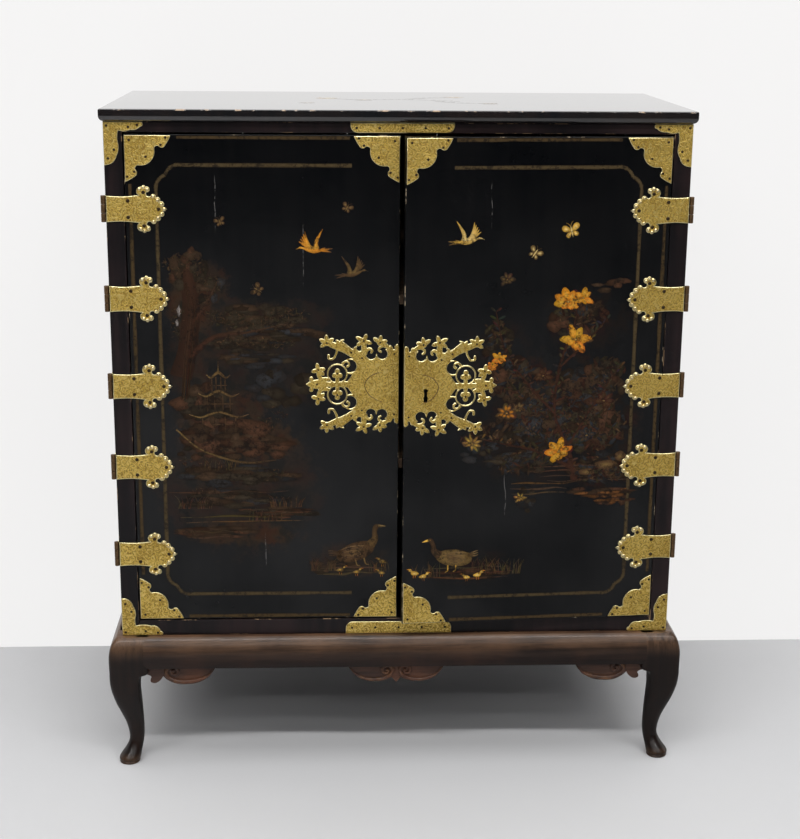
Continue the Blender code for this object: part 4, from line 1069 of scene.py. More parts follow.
left_paint = Brushwork()
gilt_lines(left_paint, "left_door", chance)
flying_bird(left_paint, drawn_at(-0.137, 0.913, 0.054, 12, -1), orange, (0.86, 0.44, 0.060), umber)
flying_bird(left_paint, drawn_at(-0.080, 0.873, 0.050, -4), umber, dull_gold, sepia)
for x, z, size, angle in ((-0.292, 0.959, 0.021, 20), (-0.086, 0.982, 0.022, -30), (-0.232, 0.847, 0.026, 60)):
    butterfly(left_paint, drawn_at(x, z, size, angle), umber, dull_gold)
for x, z, half_x, half_z, count, tints in (
        (-0.350, 0.880, 0.044, 0.040, 18, (earth, shade, rust)),
        (-0.312, 0.848, 0.036, 0.028, 14, (earth, shade, dusk)),
        (-0.235, 0.800, 0.080, 0.024, 30, (shade, earth, shade)),
        (-0.200, 0.772, 0.090, 0.018, 26, (shade, dusk, earth)), (-0.275, 0.752, 0.062, 0.020, 22, (shade, earth)),
        (-0.235, 0.728, 0.070, 0.016, 20, (dusk, shade, earth)), (-0.195, 0.680, 0.060, 0.040, 18, (dusk, shade)),
        (-0.325, 0.655, 0.056, 0.040, 24, (earth, rust, shade)),
        (-0.290, 0.600, 0.080, 0.034, 34, (rust, earth, rust)), (-0.245, 0.578, 0.080, 0.024, 28, (rust, earth)),
        (-0.340, 0.575, 0.044, 0.022, 14, (rust, earth, shade)),
        (-0.270, 0.528, 0.110, 0.022, 26, (dusk, shade, earth)),
        (-0.285, 0.488, 0.100, 0.018, 26, (earth, shade, dusk)),
        (-0.215, 0.462, 0.090, 0.012, 22, (rust, earth, shade)),
        (-0.310, 0.428, 0.076, 0.014, 26, (earth, rust, earth)), (-0.110, 0.362, 0.055, 0.014, 16, (earth, shade))):
    mass(left_paint, chance, x, z, half_x, half_z, count, tints)
left_paint.stroke([(-0.362, 0.700, 0.019), (-0.350, 0.745, 0.016), (-0.342, 0.815, 0.0145), (-0.345, 0.862, 0.0125),
                   (-0.350, 0.882, 0.004)], (0.036, 0.016, 0.010), (0.052, 0.022, 0.012), 0.0008)
for shift, tint in ((-0.005, sepia), (-0.002, umber), (0.002, oxblood), (0.005, sepia)):
    left_paint.stroke(
        [(-0.356 + shift, 0.662, 0.0008), (-0.348 + 1.2 * shift, 0.745, 0.0012), (-0.340 + shift, 0.812, 0.0010),
         (-0.351 + 0.5 * shift, 0.860, 0.0004)], tint, sepia, 0.0011)
left_paint.stroke(
    [(-0.346, 0.735, 0.006), (-0.305, 0.768, 0.004), (-0.250, 0.776, 0.003), (-0.190, 0.790, 0.001)], oxblood, sepia,
    0.0007)
left_paint.stroke([(-0.342, 0.790, 0.005), (-0.318, 0.822, 0.003), (-0.298, 0.862, 0.001)], oxblood, sepia, 0.0007)
for x, z, half_x, half_z, count in (
        (-0.352, 0.888, 0.034, 0.022, 90), (-0.318, 0.856, 0.026, 0.020, 70), (-0.290, 0.800, 0.045, 0.014, 110),
        (-0.235, 0.790, 0.060, 0.014, 150), (-0.185, 0.806, 0.040, 0.012, 90), (-0.260, 0.762, 0.048, 0.010, 90),
        (-0.205, 0.756, 0.034, 0.009, 60), (-0.362, 0.790, 0.018, 0.030, 50)):
    foliage(left_paint, chance, x, z, half_x, half_z, count, 0.0070, (umber, sepia, moss, moss, sepia))
tower_x = -0.300
for level, wide in ((0.700, 0.020), (0.668, 0.034), (0.632, 0.050)):
    left_paint.stroke([(tower_x + share * wide, level + lift, half) for share, lift, half in (
        (-1.0, 0.004, 0.0006), (-0.6, -0.001, 0.0018), (0.0, 0.008, 0.0026), (0.6, -0.001, 0.0018),
        (1.0, 0.004, 0.0006))], dull_gold, umber, 0.0007)
    for share in (-0.55, -0.2, 0.2, 0.55):
        left_paint.stroke(
            [(tower_x + share * wide, level - drop, 0.0010) for drop in (0.0, 0.027)], umber, sepia, 0.0004, 2)
    left_paint.stroke(
        [(tower_x + share * wide, level - 0.014, 0.0007) for share in (-0.7, 0.7)], umber, None, 0.0004, 2)
left_paint.stroke([(tower_x, 0.708, 0.0012), (tower_x, 0.728, 0.0004)], dull_gold, umber)
left_paint.stroke(
    [(-0.372, 0.610, 0.0014), (-0.330, 0.574, 0.0020), (-0.262, 0.552, 0.0020), (-0.205, 0.556, 0.0010)], dull_gold,
    sepia, 0.0005)
for x, z, half, rows in (
        (-0.290, 0.500, 0.105, 1), (-0.262, 0.446, 0.115, 2), (-0.320, 0.420, 0.060, 2), (-0.085, 0.352, 0.065, 2)):
    bank(left_paint, chance, x, z, half, rows, umber)
for x, z, half, count in (
        (-0.345, 0.470, 0.030, 26), (-0.190, 0.472, 0.030, 22), (-0.125, 0.356, 0.022, 20),
        (-0.030, 0.354, 0.018, 16), (-0.225, 0.448, 0.030, 20), (-0.300, 0.538, 0.030, 18)):
    grass(left_paint, chance, x, z, half, count, 0.026, umber)
for x, z, half_x, half_z, count in (
        (-0.345, 0.552, 0.024, 0.014, 50), (-0.215, 0.530, 0.034, 0.010, 60), (-0.330, 0.500, 0.024, 0.010, 40),
        (-0.225, 0.610, 0.018, 0.026, 50), (-0.200, 0.640, 0.016, 0.016, 30)):
    foliage(left_paint, chance, x, z, half_x, half_z, count, 0.0055, (umber, sepia, moss, oxblood))
for x, z, size in (
        (-0.352, 0.862, 0.010), (-0.336, 0.846, 0.013), (-0.333, 0.826, 0.012), (-0.334, 0.805, 0.008),
        (-0.362, 0.812, 0.012), (-0.366, 0.792, 0.008)):
    left_paint.dab(rough_oval(chance, x, z, 0.35 * size, size, 9, (0.5, 1.2), (0.6, 1.1)),
                   (0.24, 0.21, 0.19), (0.36, 0.33, 0.31), 0.0002)
water_bird(left_paint, drawn_at(-0.070, 0.391, 0.068, 10), umber, (0.150, 0.088, 0.032), sepia, dull_gold)
for x, z, size, mirror in (
        (-0.098, 0.358, 0.017, 1), (-0.070, 0.354, 0.016, 1), (-0.024, 0.372, 0.017, -1), (-0.026, 0.352, 0.015, -1)):
    chick(left_paint, drawn_at(x, z, size, 0, mirror), dull_gold, gold, orange)
left_paint.hang_on("left_door_painting", "left_door", gilt_paint)

right_paint = Brushwork()
gilt_lines(right_paint, "right_door", chance)
for x, z, half_x, half_z, count, tints in (
        (0.290, 0.668, 0.080, 0.050, 46, (dusk, earth, rust, shade)),
        (0.330, 0.615, 0.058, 0.050, 36, (earth, rust, shade)),
        (0.235, 0.625, 0.070, 0.046, 40, (dusk, shade, dusk, earth)),
        (0.190, 0.700, 0.052, 0.042, 24, (earth, shade, rust)), (0.160, 0.765, 0.030, 0.040, 12, (shade, earth)),
        (0.300, 0.800, 0.060, 0.034, 20, (shade, earth, rust)), (0.350, 0.860, 0.036, 0.018, 10, (rust, earth)),
        (0.350, 0.700, 0.046, 0.040, 24, (rust, earth, shade)),
        (0.350, 0.545, 0.056, 0.028, 30, (earth, shade, dusk)), (0.225, 0.560, 0.075, 0.026, 30, (dusk, shade)),
        (0.140, 0.570, 0.040, 0.024, 16, (dusk, shade)), (0.180, 0.620, 0.040, 0.036, 18, (dusk, shade, earth)),
        (0.345, 0.500, 0.066, 0.012, 24, (rust, earth, (0.150, 0.060, 0.018))),
        (0.368, 0.484, 0.038, 0.011, 20, ((0.150, 0.060, 0.018), rust)),
        (0.130, 0.358, 0.070, 0.012, 18, (earth, rust)), (0.215, 0.485, 0.034, 0.026, 12, (shade, dusk))):
    mass(right_paint, chance, x, z, half_x, half_z, count, tints)
flying_bird(right_paint, drawn_at(0.104, 0.931, 0.054, -8), gold, pale_gold, umber)
for x, z, size, angle, tint in ((0.280, 0.947, 0.034, 15, gold), (0.220, 0.911, 0.028, -35, dull_gold)):
    butterfly(right_paint, drawn_at(x, z, size, angle), tint, pale_gold)
for stops in (
        [(0.300, 0.520, 0.006), (0.285, 0.580, 0.005), (0.262, 0.640, 0.004), (0.268, 0.720, 0.003),
         (0.290, 0.790, 0.002), (0.296, 0.845, 0.001)],
        [(0.285, 0.580, 0.004), (0.320, 0.640, 0.003), (0.350, 0.690, 0.002), (0.372, 0.720, 0.001)],
        [(0.262, 0.640, 0.003), (0.215, 0.690, 0.003), (0.175, 0.750, 0.002), (0.158, 0.815, 0.001)],
        [(0.300, 0.540, 0.004), (0.240, 0.572, 0.003), (0.180, 0.588, 0.002), (0.128, 0.600, 0.001)],
        [(0.268, 0.720, 0.002), (0.310, 0.760, 0.002), (0.345, 0.800, 0.001)]):
    twig(right_paint, chance, stops, oxblood, 0.013, (umber, moss, slate, oxblood, sepia))
for x, z, half_x, half_z, count in (
        (0.290, 0.665, 0.075, 0.045, 220), (0.330, 0.612, 0.055, 0.045, 160), (0.235, 0.625, 0.060, 0.040, 160),
        (0.190, 0.700, 0.042, 0.036, 110), (0.160, 0.765, 0.026, 0.036, 70), (0.300, 0.805, 0.042, 0.032, 90),
        (0.345, 0.700, 0.036, 0.034, 80), (0.345, 0.540, 0.052, 0.024, 130), (0.215, 0.556, 0.055, 0.020, 110),
        (0.140, 0.598, 0.036, 0.022, 70)):
    foliage(right_paint, chance, x, z, half_x, half_z, count // 3, 0.0210, (sepia, oxblood, slate, slate, moss))
    foliage(
        right_paint, chance, x, z, half_x, half_z, count // 2, 0.0115, (umber, sepia, oxblood, moss, slate, oxblood))
for x, z, size, petals, tint, pale in (
        (0.278, 0.830, 0.046, 6, orange, gold), (0.303, 0.836, 0.034, 5, orange, gold),
        (0.293, 0.766, 0.052, 5, (0.70, 0.29, 0.022), (0.78, 0.40, 0.045)), (0.271, 0.573, 0.050, 5, orange, gold),
        (0.207, 0.492, 0.020, 5, dull_gold, gold), (0.122, 0.590, 0.036, 7, dull_gold, gold),
        (0.180, 0.642, 0.034, 6, umber, orange), (0.200, 0.650, 0.024, 5, umber, dull_gold),
        (0.165, 0.735, 0.026, 5, orange, gold), (0.152, 0.722, 0.020, 5, orange, dull_gold),
        (0.345, 0.660, 0.034, 6, oxblood, umber), (0.240, 0.705, 0.030, 6, oxblood, umber),
        (0.318, 0.600, 0.034, 6, slate, umber), (0.222, 0.610, 0.030, 6, slate, umber),
        (0.175, 0.868, 0.026, 5, sepia, dull_gold)):
    blossom(right_paint, chance, drawn_at(x, z, size, chance.uniform(-40, 40)), petals, tint, pale, dull_gold)
for x, z, half, rows in ((0.310, 0.520, 0.095, 4), (0.120, 0.352, 0.085, 3), (0.235, 0.500, 0.070, 3)):
    bank(right_paint, chance, x, z, half, rows, umber)
for x, z, half, count in (
        (0.180, 0.356, 0.030, 30), (0.050, 0.354, 0.022, 18), (0.145, 0.362, 0.020, 18), (0.375, 0.528, 0.020, 16)):
    grass(right_paint, chance, x, z, half, count, 0.030, umber)
for x, z, half_x, half_z in (
        (0.352, 0.548, 0.022, 0.010), (0.320, 0.536, 0.016, 0.008), (0.378, 0.562, 0.012, 0.010)):
    right_paint.dab(rough_oval(chance, x, z, half_x, half_z, 12, (0.8, 1.1), (0.8, 1.1)), umber, dull_gold, 0.0010)
water_bird(right_paint, drawn_at(0.094, 0.388, 0.062, 4, -1), dull_gold, umber, sepia, gold)
for x, z, size, mirror in (
        (0.028, 0.362, 0.018, -1), (0.042, 0.356, 0.017, 1), (0.136, 0.356, 0.018, 1), (0.118, 0.352, 0.015, -1)):
    chick(right_paint, drawn_at(x, z, size, 0, mirror), gold, pale_gold, orange)
right_paint.hang_on("right_door_painting", "right_door", gilt_paint)

top_paint = Brushwork(top_high.z)
for stops in (
        [(0.110, -0.020, 0.003), (0.060, 0.010, 0.0028), (0.000, 0.022, 0.0024), (-0.060, 0.012, 0.002),
         (-0.110, 0.036, 0.001)], [(0.020, 0.020, 0.002), (0.050, 0.060, 0.0018), (0.100, 0.078, 0.001)],
        [(0.060, 0.010, 0.002), (0.095, -0.050, 0.0018), (0.150, -0.066, 0.001)]):
    twig(top_paint, chance, stops, umber, 0.013, (umber, dull_gold, dull_gold, moss))
for x, y, size, tint, pale in (
        (-0.118, 0.046, 0.042, gold, pale_gold), (-0.052, 0.006, 0.034, dull_gold, gold),
        (0.108, 0.086, 0.036, gold, pale_gold), (0.158, -0.070, 0.032, dull_gold, gold)):
    blossom(top_paint, chance, drawn_at(x, y, size, chance.uniform(-40, 40)), 5, tint, pale, dull_gold)
butterfly(top_paint, drawn_at(-0.150, -0.070, 0.034, 25), dull_gold, gold)
polished_paint = gilt_paint.copy()
polished_paint.name = "polished_paint"
for key, value in (("Coat Weight", 1.0), ("Coat Roughness", 0.04)):
    polished_paint.node_tree.nodes["Principled BSDF"].inputs[key].default_value = value
top_paint.hang_on("top_painting", "case", polished_paint)


# The hinges: cast and chased brass, five to a door, each strap nailed to the door's face.
# The strap opens into two trefoils and a beaded spear head; its leaf is nailed to the side of the case.
def chased_brass(name, scroll):
    """Old gilt brass, chased all over with small scrolls and punched dots, dark in the cuts, with painted highlights
    on the crests of the scrolls and along the rims.
    """
    material, shader, place = new_finish(name)
    sway = place.node("TexNoise", {}, {"Vector": place, "Scale": 1.5 * scroll, "Detail": 2.0}, "Color")
    bend = [0.9 / scroll] * 3
    bent = place.node("VectorMath", {"operation": "MULTIPLY_ADD"}, {0: sway, 1: bend, 2: place})
    cells = place.node("TexVoronoi", {}, {"Vector": bent, "Scale": scroll}, "Distance")
    curls = (cells * 19.0).maths("SINE", 0.0) * 0.5 + 0.5
    leaves = mottle(bent, 4.0 * scroll, 3.0, 0.6)
    punched = place.node("TexVoronoi", {}, {"Vector": place, "Scale": 700.0}, "Distance")
    tarnish = mottle(place, 21.0, 5.0, 0.6)
    edge = place.mark("edge")
    cut = ease(curls, 0.40, 0.10) * ease(leaves, 0.66, 0.44)
    cut = cut.maths("MAXIMUM", ease(leaves, 0.42, 0.32) * 0.9).maths("MAXIMUM", ease(punched, 0.24, 0.10) * 0.3)
    cut = cut * (1.0 - edge * 0.9)
    # Painted highlights: the crests of the scrolls are blended towards pale brass, and the rims (the edge faces)
    # further down towards near white.
    high = ease(curls, 0.55, 0.95) * ease(leaves, 0.40, 0.60) * 0.9
    body = blend(ease(tarnish, 0.35, 0.68), (0.82, 0.575, 0.130), (0.60, 0.400, 0.078))
    body = blend(high * 0.7, body, (1.0, 0.82, 0.34))
    body = blend(cut * 0.85, body, (0.26, 0.155, 0.028))
    body = blend(edge * 0.8, body, (1.0, 0.90, 0.52))
    dress(shader, place, {
        "Base Color": body, "Metallic": 1.0 - 0.4 * cut,
        "Roughness": 0.36 + 0.14 * tarnish + 0.18 * cut - 0.10 * edge}, 0.4, 0.0008, high * 0.5 - cut)
    return material


def plain_metal(name, scale, detail, colours, metal, rough, strength, distance, sharp=False):
    """Cast metal with fine spots between two colours."""
    material, shader, place = new_finish(name)
    spots = mottle(place, scale, detail)
    shown = ease(spots, 0.35, 0.65) if sharp else spots
    dress(shader, place, {
        "Base Color": blend(shown, *colours), "Metallic": metal, "Roughness": rough + 0.2 * spots},
        strength, distance, spots)
    return material


def plate(name, outline, front_y, back_y, rim, rise):
    """Sheet brass sawn to a closed outline in the XZ plane, with a rim of a given width and rise."""
    curve = bpy.data.curves.new(name, "CURVE")
    curve.dimensions = "2D"
    curve.fill_mode = "BOTH"
    curve.extrude = (back_y - front_y) / 2 * rim / rise - rim
    curve.bevel_depth = rim
    curve.bevel_resolution = 1
    curve.offset = -rim
    spline = curve.splines.new("POLY")
    spline.points.add(len(outline) - 1)
    for point, (x, z) in zip(spline.points, outline):
        point.co = (x, z, 0.0, 1.0)
    spline.use_cyclic_u = True
    piece = linked(name, curve)
    bpy.ops.object.convert(target="MESH")
    turned = Matrix.Rotation(math.pi / 2, 4, "X") @ Matrix.Diagonal((1.0, 1.0, rise / rim, 1.0))
    piece.data.transform(Matrix.Translation((0.0, (front_y + back_y) / 2, 0.0)) @ turned)
    tidy(piece)
    mark_edges(piece)
    return piece


def dome(name, x, y, z, radius, height):
    """A round nail head or bead that stands out from a face towards -Y."""
    bpy.ops.object.select_all(action="DESELECT")
    bpy.ops.mesh.primitive_uv_sphere_add(segments=14, ring_count=8, radius=radius, location=(0.0, 0.0, 0.0))
    head = bpy.context.object
    head.name = name
    middle = (0.0, 0.0, 0.0)
    in_edit(head,
            (bpy.ops.transform.rotate, {"value": math.pi / 2, "orient_axis": "X", "center_override": middle}),
            (bpy.ops.mesh.bisect, {
                "plane_co": middle, "plane_no": (0.0, 1.0, 0.0), "use_fill": True, "clear_outer": True}),
            (bpy.ops.mesh.select_all, {"action": "SELECT"}),
            (bpy.ops.transform.resize, {"value": (1.0, height / radius, 1.0), "center_override": middle}))
    head.data.transform(Matrix.Translation((x, y, z)))
    bpy.ops.object.shade_smooth_by_angle(angle=math.radians(50))
    return head


def knuckle(name, x, y, low_z, high_z):
    """One turn of the hinge's rolled barrel."""
    barrel = rod(0.0040, high_z - low_z, (x, y, (low_z + high_z) / 2))
    barrel.name = name
    bpy.ops.object.transform_apply(location=True, rotation=True, scale=True)
    finish_with(barrel, "BEVEL", width=0.0005, segments=2, limit_method="ANGLE", angle_limit=math.radians(50))
    bpy.ops.object.shade_smooth_by_angle(angle=math.radians(40))
    return barrel


def both(up):
    """Above and below the middle, or once on it."""
    return (-1, 1) if up else (1,)


def fix_brass(piece, body, finish, *nodes):
    """Turn a mount with its door, and give it its finish and its body."""
    hang(piece, body)
    settle(piece, body, "chased_brass", finish, *nodes)


strap_brass = chased_brass("strap_brass", 80.0)
# The beads take a paler copy of the brass: a painted highlight on the domes.
highlight_bead_brass = plain_metal(
    "highlight_bead_brass", 500.0, 3.0, ((0.80, 0.60, 0.24), (1.0, 0.90, 0.60)), 1.0, 0.20, 0.15, 0.0004, True)
bronze = plain_metal(
    "nail_bronze", 900.0, 3.0, ((0.022, 0.014, 0.008), (0.080, 0.050, 0.024)), 0.85, 0.32, 0.2, 0.0004)
barrel_bronze = plain_metal(
    "barrel_bronze", 240.0, 4.0, ((0.085, 0.048, 0.026), (0.200, 0.120, 0.055)), 0.8, 0.34, 0.3, 0.0006)

plate_face, plate_back, plate_rise = door_front - 0.00240, door_front - 0.00030, 0.0006
nails = {"case": [], "left_door": [], "right_door": []}
strap_half = trace(*mm((
    (5, 21.5), ((33, 20.3), (57, 22.5)), ((55.6, 33.5), (62.5, 36)),
    ((65.8, 38.6), (69, 36)), ((75.5, 33), (70.5, 27)),
    ((71, 21.5), (76.5, 21)), ((82, 24), (85.2, 18.6)),
    ((91.5, 17.5), (91.5, 12)), ((98, 9.5), (96.5, 4.2)), (103, 0))))
strap_outline = strap_half + [(out, -up) for out, up in reversed(strap_half) if up]
strap_beads = mm((
    (80.3, 20.3, 2.9), (87.7, 14.3, 2.9), (93.7, 7.6, 2.9), (98.2, 0, 3.3),
    (59.3, 32.2, 3), (65.7, 35, 3), (71.4, 31.3, 3)))
strap_nails = mm(((40, 13.4), (65.2, 27.2), (89, 0)))
hinge_rows = {"left": (0.9798, 0.8323, 0.6848, 0.5448, 0.3898), "right": (0.9798, 0.8323, 0.6848, 0.5453, 0.3978)}
strap_rim, bead_tall, strap_nail = 0.0013, 0.0019, 0.0031
knuckle_lows, knuckle_tall, pin_half = (-0.0215, 0.00757), 0.01393, 0.00687
leaf_middle_x, leaf_half, pin_y = 0.47605, 0.00075, right_pin.y
leaf_low, leaf_high = pin_y + 0.0050, pin_y + 0.052
leaf_line = trace(
    (leaf_low, -0.0205), (leaf_low + 0.001, -0.0215), (leaf_high - 0.010, -0.0215),
    ((leaf_high - 0.0030, -0.0160), (leaf_high - 0.006, -0.0085)), ((leaf_high - 0.0005, -0.0050), (leaf_high, 0.0)),
    ((leaf_high - 0.0005, 0.0050), (leaf_high - 0.006, 0.0085)),
    ((leaf_high - 0.0030, 0.0160), (leaf_high - 0.010, 0.0215)),
    (leaf_low + 0.001, 0.0215), (leaf_low, 0.0205), (leaf_low, 0.0072), (pin_y, 0.0066), (pin_y, -0.0066),
    (leaf_low, -0.0072))
for side_name, side in (("left", -1), ("right", 1)):
    pin_x, body = side * right_pin.x, side_name + "_door"
    for row, middle in enumerate(hinge_rows[side_name], 1):
        strap_node, leaf_node = f"{side_name}_hinge_strap_{row}", f"{side_name}_hinge_leaf_{row}"
        outline = [(pin_x - side * out, middle + up) for out, up in strap_outline]
        strap = plate(strap_node + "_chased", outline, plate_face, plate_back, strap_rim, plate_rise)
        heads = [dome("bead", pin_x - side * out, plate_face + 0.0001, middle + turn * up, radius, bead_tall)
                 for out, up, radius in strap_beads for turn in both(up)]
        nails[body] += [
            (pin_x - side * out, middle + turn * up, strap_nail) for out, up in strap_nails for turn in both(up)]
        fix_brass(strap, body, strap_brass, strap_node)
        fix_brass(joined(strap_node + "_beads", heads), body, highlight_bead_brass)
        outer = [knuckle("knuckle", pin_x, pin_y, middle + low, middle + low + knuckle_tall) for low in knuckle_lows]
        fix_brass(joined(strap_node + "_knuckles", outer), body, barrel_bronze)
        leaf = plate(leaf_node + "_sheet", leaf_line, -leaf_half, leaf_half, 0.0003, 0.0003)
        side_heads = [dome("nail", across, 0.0001 - leaf_half, up, 0.0022, 0.0010)
                      for across in (pin_y + 0.014, pin_y + 0.036) for up in (-0.0135, 0.0135)]
        leaf = joined(leaf_node + "_sheet", [leaf] + side_heads)
        for change in (Matrix.Rotation(math.pi / 2, 4, "Z"), Matrix.Diagonal((side, 1.0, 1.0, 1.0)),
                       Matrix.Translation((side * leaf_middle_x, 0.0, middle))):
            leaf.data.transform(change)
        tidy(leaf)
        pin = knuckle(leaf_node + "_knuckle", pin_x, pin_y, middle - pin_half, middle + pin_half)
        fix_brass(leaf, "case", strap_brass, leaf_node)
        fix_brass(pin, "case", barrel_bronze)


# The corner mounts and rail plates: thin sheet brass, sawn, chased like the hinges and pinned down.
# A three-lobed plate sits on each corner of the doors, an L on each corner of the case, a bar on each rail.
def sheet(name, outline):
    """A mount of thin sheet brass on the front."""
    return plate(name, outline, plate_face, plate_back, 0.0009, plate_rise)


corner_brass = chased_brass("corner_brass", 84.0)
arm_run = trace(*mm(((74, 1), ((70, 9), (65.5, 16)), ((60.5, 19.5), (55, 17.2)),
                ((51, 17), (47.8, 20.2)))))
arm_turned = [(up, out) for out, up in reversed(arm_run)]
crown = arc(arm_run[-1], (0.0415, 0.0415), arm_turned[0])
arm_long = 0.0740
door_corner = [(0.0, 0.0), (arm_long, 0.0)] + arm_run + crown[:-1] + arm_turned + [(0.0, arm_long)]
corner_nails = mm(((8, 7.5), (66, 3.5), (58, 15), (3.5, 66), (15, 58), (34, 34)))
corner_gap, corner_nail = 0.0015, 0.0022
for side_name, side in (("left", -1), ("right", 1)):
    body = side_name + "_door"
    for level_name, level, edge_z in (("top", -1, door_high), ("bottom", 1, door_low)):
        for end_name, way, edge_x in (("outer", -side, outer_edges[body]), ("inner", side, free_edges[body])):
            node = f"{side_name}_door_corner_{level_name}_{end_name}"
            start_x, start_z = edge_x + way * corner_gap, edge_z + level * corner_gap
            outline = [(start_x + way * out, start_z + level * up) for out, up in door_corner]
            nails[body] += [(start_x + way * out, start_z + level * up, corner_nail) for out, up in corner_nails]
            fix_brass(sheet(node + "_chased", outline), body, corner_brass, node)

case_low, case_high = 0.2403, 1.1193
meeting_x, case_gap = 0.0037, 0.0005
for level_name, level, edge_z, foot, long in (
        ("top", -1, case_high, 0.0150, 0.0600), ("bottom", 1, case_low, 0.0195, 0.0665)):
    case_corner = trace(
        (0.0, 0.0), (long, 0.0), ((long + 0.0035, 0.0035), (long - 0.0005, 0.0075)),
        ((long - 0.0075, foot - 0.0030), (long - 0.0165, foot - 0.0022)),
        ((0.0350, foot), (0.0240, foot - 0.0015)), ((0.0225, 0.0260), (0.0240, 0.0360)),
        ((0.0234, 0.0460), (0.0200, 0.0540)), ((0.0150, 0.0635), (0.0070, 0.0680)), (0.0, 0.0690))
    case_nails = ((0.0055, 0.0060), (0.0065, 0.0580), (long - 0.0055, 0.0050), (0.0165, 0.0440), (0.0400, 0.0080))
    for side_name, side in (("left", -1), ("right", 1)):
        node = f"case_corner_{level_name}_{side_name}"
        start_x, start_z = side * (case_width / 2 - case_gap), edge_z + level * case_gap
        outline = [(start_x - side * out, start_z + level * up) for out, up in case_corner]
        nails["case"] += [(start_x - side * out, start_z + level * up, corner_nail) for out, up in case_nails]
        fix_brass(sheet(node + "_chased", outline), "case", corner_brass, node)
for node, long, tall, middle, level in (
        ("rail_plate_top", 0.168, 0.0155, case_high - 0.0085, -1),
        ("rail_plate_bottom", 0.184, 0.022, case_low + 0.0113, 1)):
    taper, bulge = 0.012, 0.012 * math.sqrt(0.5)
    shoulder = long / 2 - taper
    half = trace(
        (long / 2, -level * tall / 2), (long / 2, level * (tall / 2 - taper)),
        ((shoulder + bulge, level * (tall / 2 - taper + bulge)), (shoulder, level * tall / 2)))
    outline = [(meeting_x + out, middle + up) for out, up in half + [(-out, up) for out, up in reversed(half)]]
    nails["case"] += [(meeting_x + share * long, middle, corner_nail) for share in (-0.44, -0.22, 0.0, 0.22, 0.44)]
    fix_brass(sheet(node + "_chased", outline), "case", corner_brass, node)


# The lock plates: a pierced pair that meets where the doors do, cut from thicker brass and chased.
# Each is a shield with sprays of buds above and below, two rings with trefoils and a fleur-de-lis.
def cut_lines(depth, xs, zs):
    """Closed lines where a field of depths crosses zero, on a grid of places."""
    ends = {}

    def crossing(i, j, k, l):
        a, b = depth[i, j], depth[k, l]
        share = a / (a - b)
        return (xs[i] + share * (xs[k] - xs[i]), zs[j] + share * (zs[l] - zs[j]))
    for i in range(len(xs) - 1):
        for j in range(len(zs) - 1):
            corners = ((i, j), (i + 1, j), (i + 1, j + 1), (i, j + 1))
            inside = [depth[spot] < 0.0 for spot in corners]
            cuts = []
            for step in range(4):
                after = (step + 1) % 4
                if inside[step] != inside[after]:
                    first, second = sorted((corners[step], corners[after]))
                    cuts.append((inside[step], (first, second)))
            leaving = [cut for was_in, cut in cuts if was_in]
            coming = [cut for was_in, cut in cuts if not was_in]
            for start, stop in zip(leaving, coming):
                ends[start] = stop
    loops = []
    while ends:
        first, here = ends.popitem()
        loop = [first]
        while here != first:
            loop.append(here)
            here = ends.pop(here)
        loops.append([crossing(*one, *other) for one, other in loop])
    return loops


class Pattern:
    """A sheet pattern as a field of depths in millimetres: below zero is metal."""

    def __init__(self, across, up, step):
        self.xs, self.zs = np.arange(-6.0, across, step), np.arange(-up, up + step / 2, step) + 0.0137
        self.u, self.v = np.meshgrid(self.xs, np.abs(self.zs), indexing="ij")
        self.depth = np.full(self.u.shape, 99.0)

    def add(self, shape):
        """Lay a shape on as metal."""
        self.depth = np.minimum(self.depth, shape)

    def pierce(self, shape):
        """Cut a shape out of the metal."""
        self.depth = np.maximum(self.depth, -shape)

    def at(self, x, z):
        """The depth at any place, from the four corners round it."""
        i, j = (x - self.xs[0]) / (self.xs[1] - self.xs[0]), (z - self.zs[0]) / (self.zs[1] - self.zs[0])
        a, b = int(i), int(j)
        s, t = i - a, j - b
        return ((1 - s) * ((1 - t) * self.depth[a, b] + t * self.depth[a, b + 1])
                + s * ((1 - t) * self.depth[a + 1, b] + t * self.depth[a + 1, b + 1]))

    def disc(self, x, z, radius):
        """A round shape."""
        return np.hypot(self.u - x, self.v - z) - radius

    def run(self, *stops):
        """A tapered bar through stops (x, z, half width)."""
        rows = flow(stops, 6)
        shape = np.full(self.u.shape, 99.0)
        for (ax, az, aw), (bx, bz, bw) in zip(rows, rows[1:]):
            long = max((bx - ax) ** 2 + (bz - az) ** 2, 1e-9)
            share = np.clip(((self.u - ax) * (bx - ax) + (self.v - az) * (bz - az)) / long, 0.0, 1.0)
            away = np.hypot(self.u - ax - share * (bx - ax), self.v - az - share * (bz - az))
            shape = np.minimum(shape, away - aw - share * (bw - aw))
        return shape

    def shield(self, corners):
        """The inside of a closed outline."""
        away = np.full(self.u.shape, 99.0)
        odd = np.zeros(self.u.shape, bool)
        for (ax, az), (bx, bz) in zip(corners, corners[1:] + corners[:1]):
            long = max((bx - ax) ** 2 + (bz - az) ** 2, 1e-9)
            share = np.clip(((self.u - ax) * (bx - ax) + (self.v - az) * (bz - az)) / long, 0.0, 1.0)
            away = np.minimum(away, np.hypot(self.u - ax - share * (bx - ax), self.v - az - share * (bz - az)))
            if az != bz:
                odd ^= ((az > self.v) != (bz > self.v)) & (self.u < ax + (self.v - az) * (bx - ax) / (bz - az))
        return np.where(odd, -away, away)


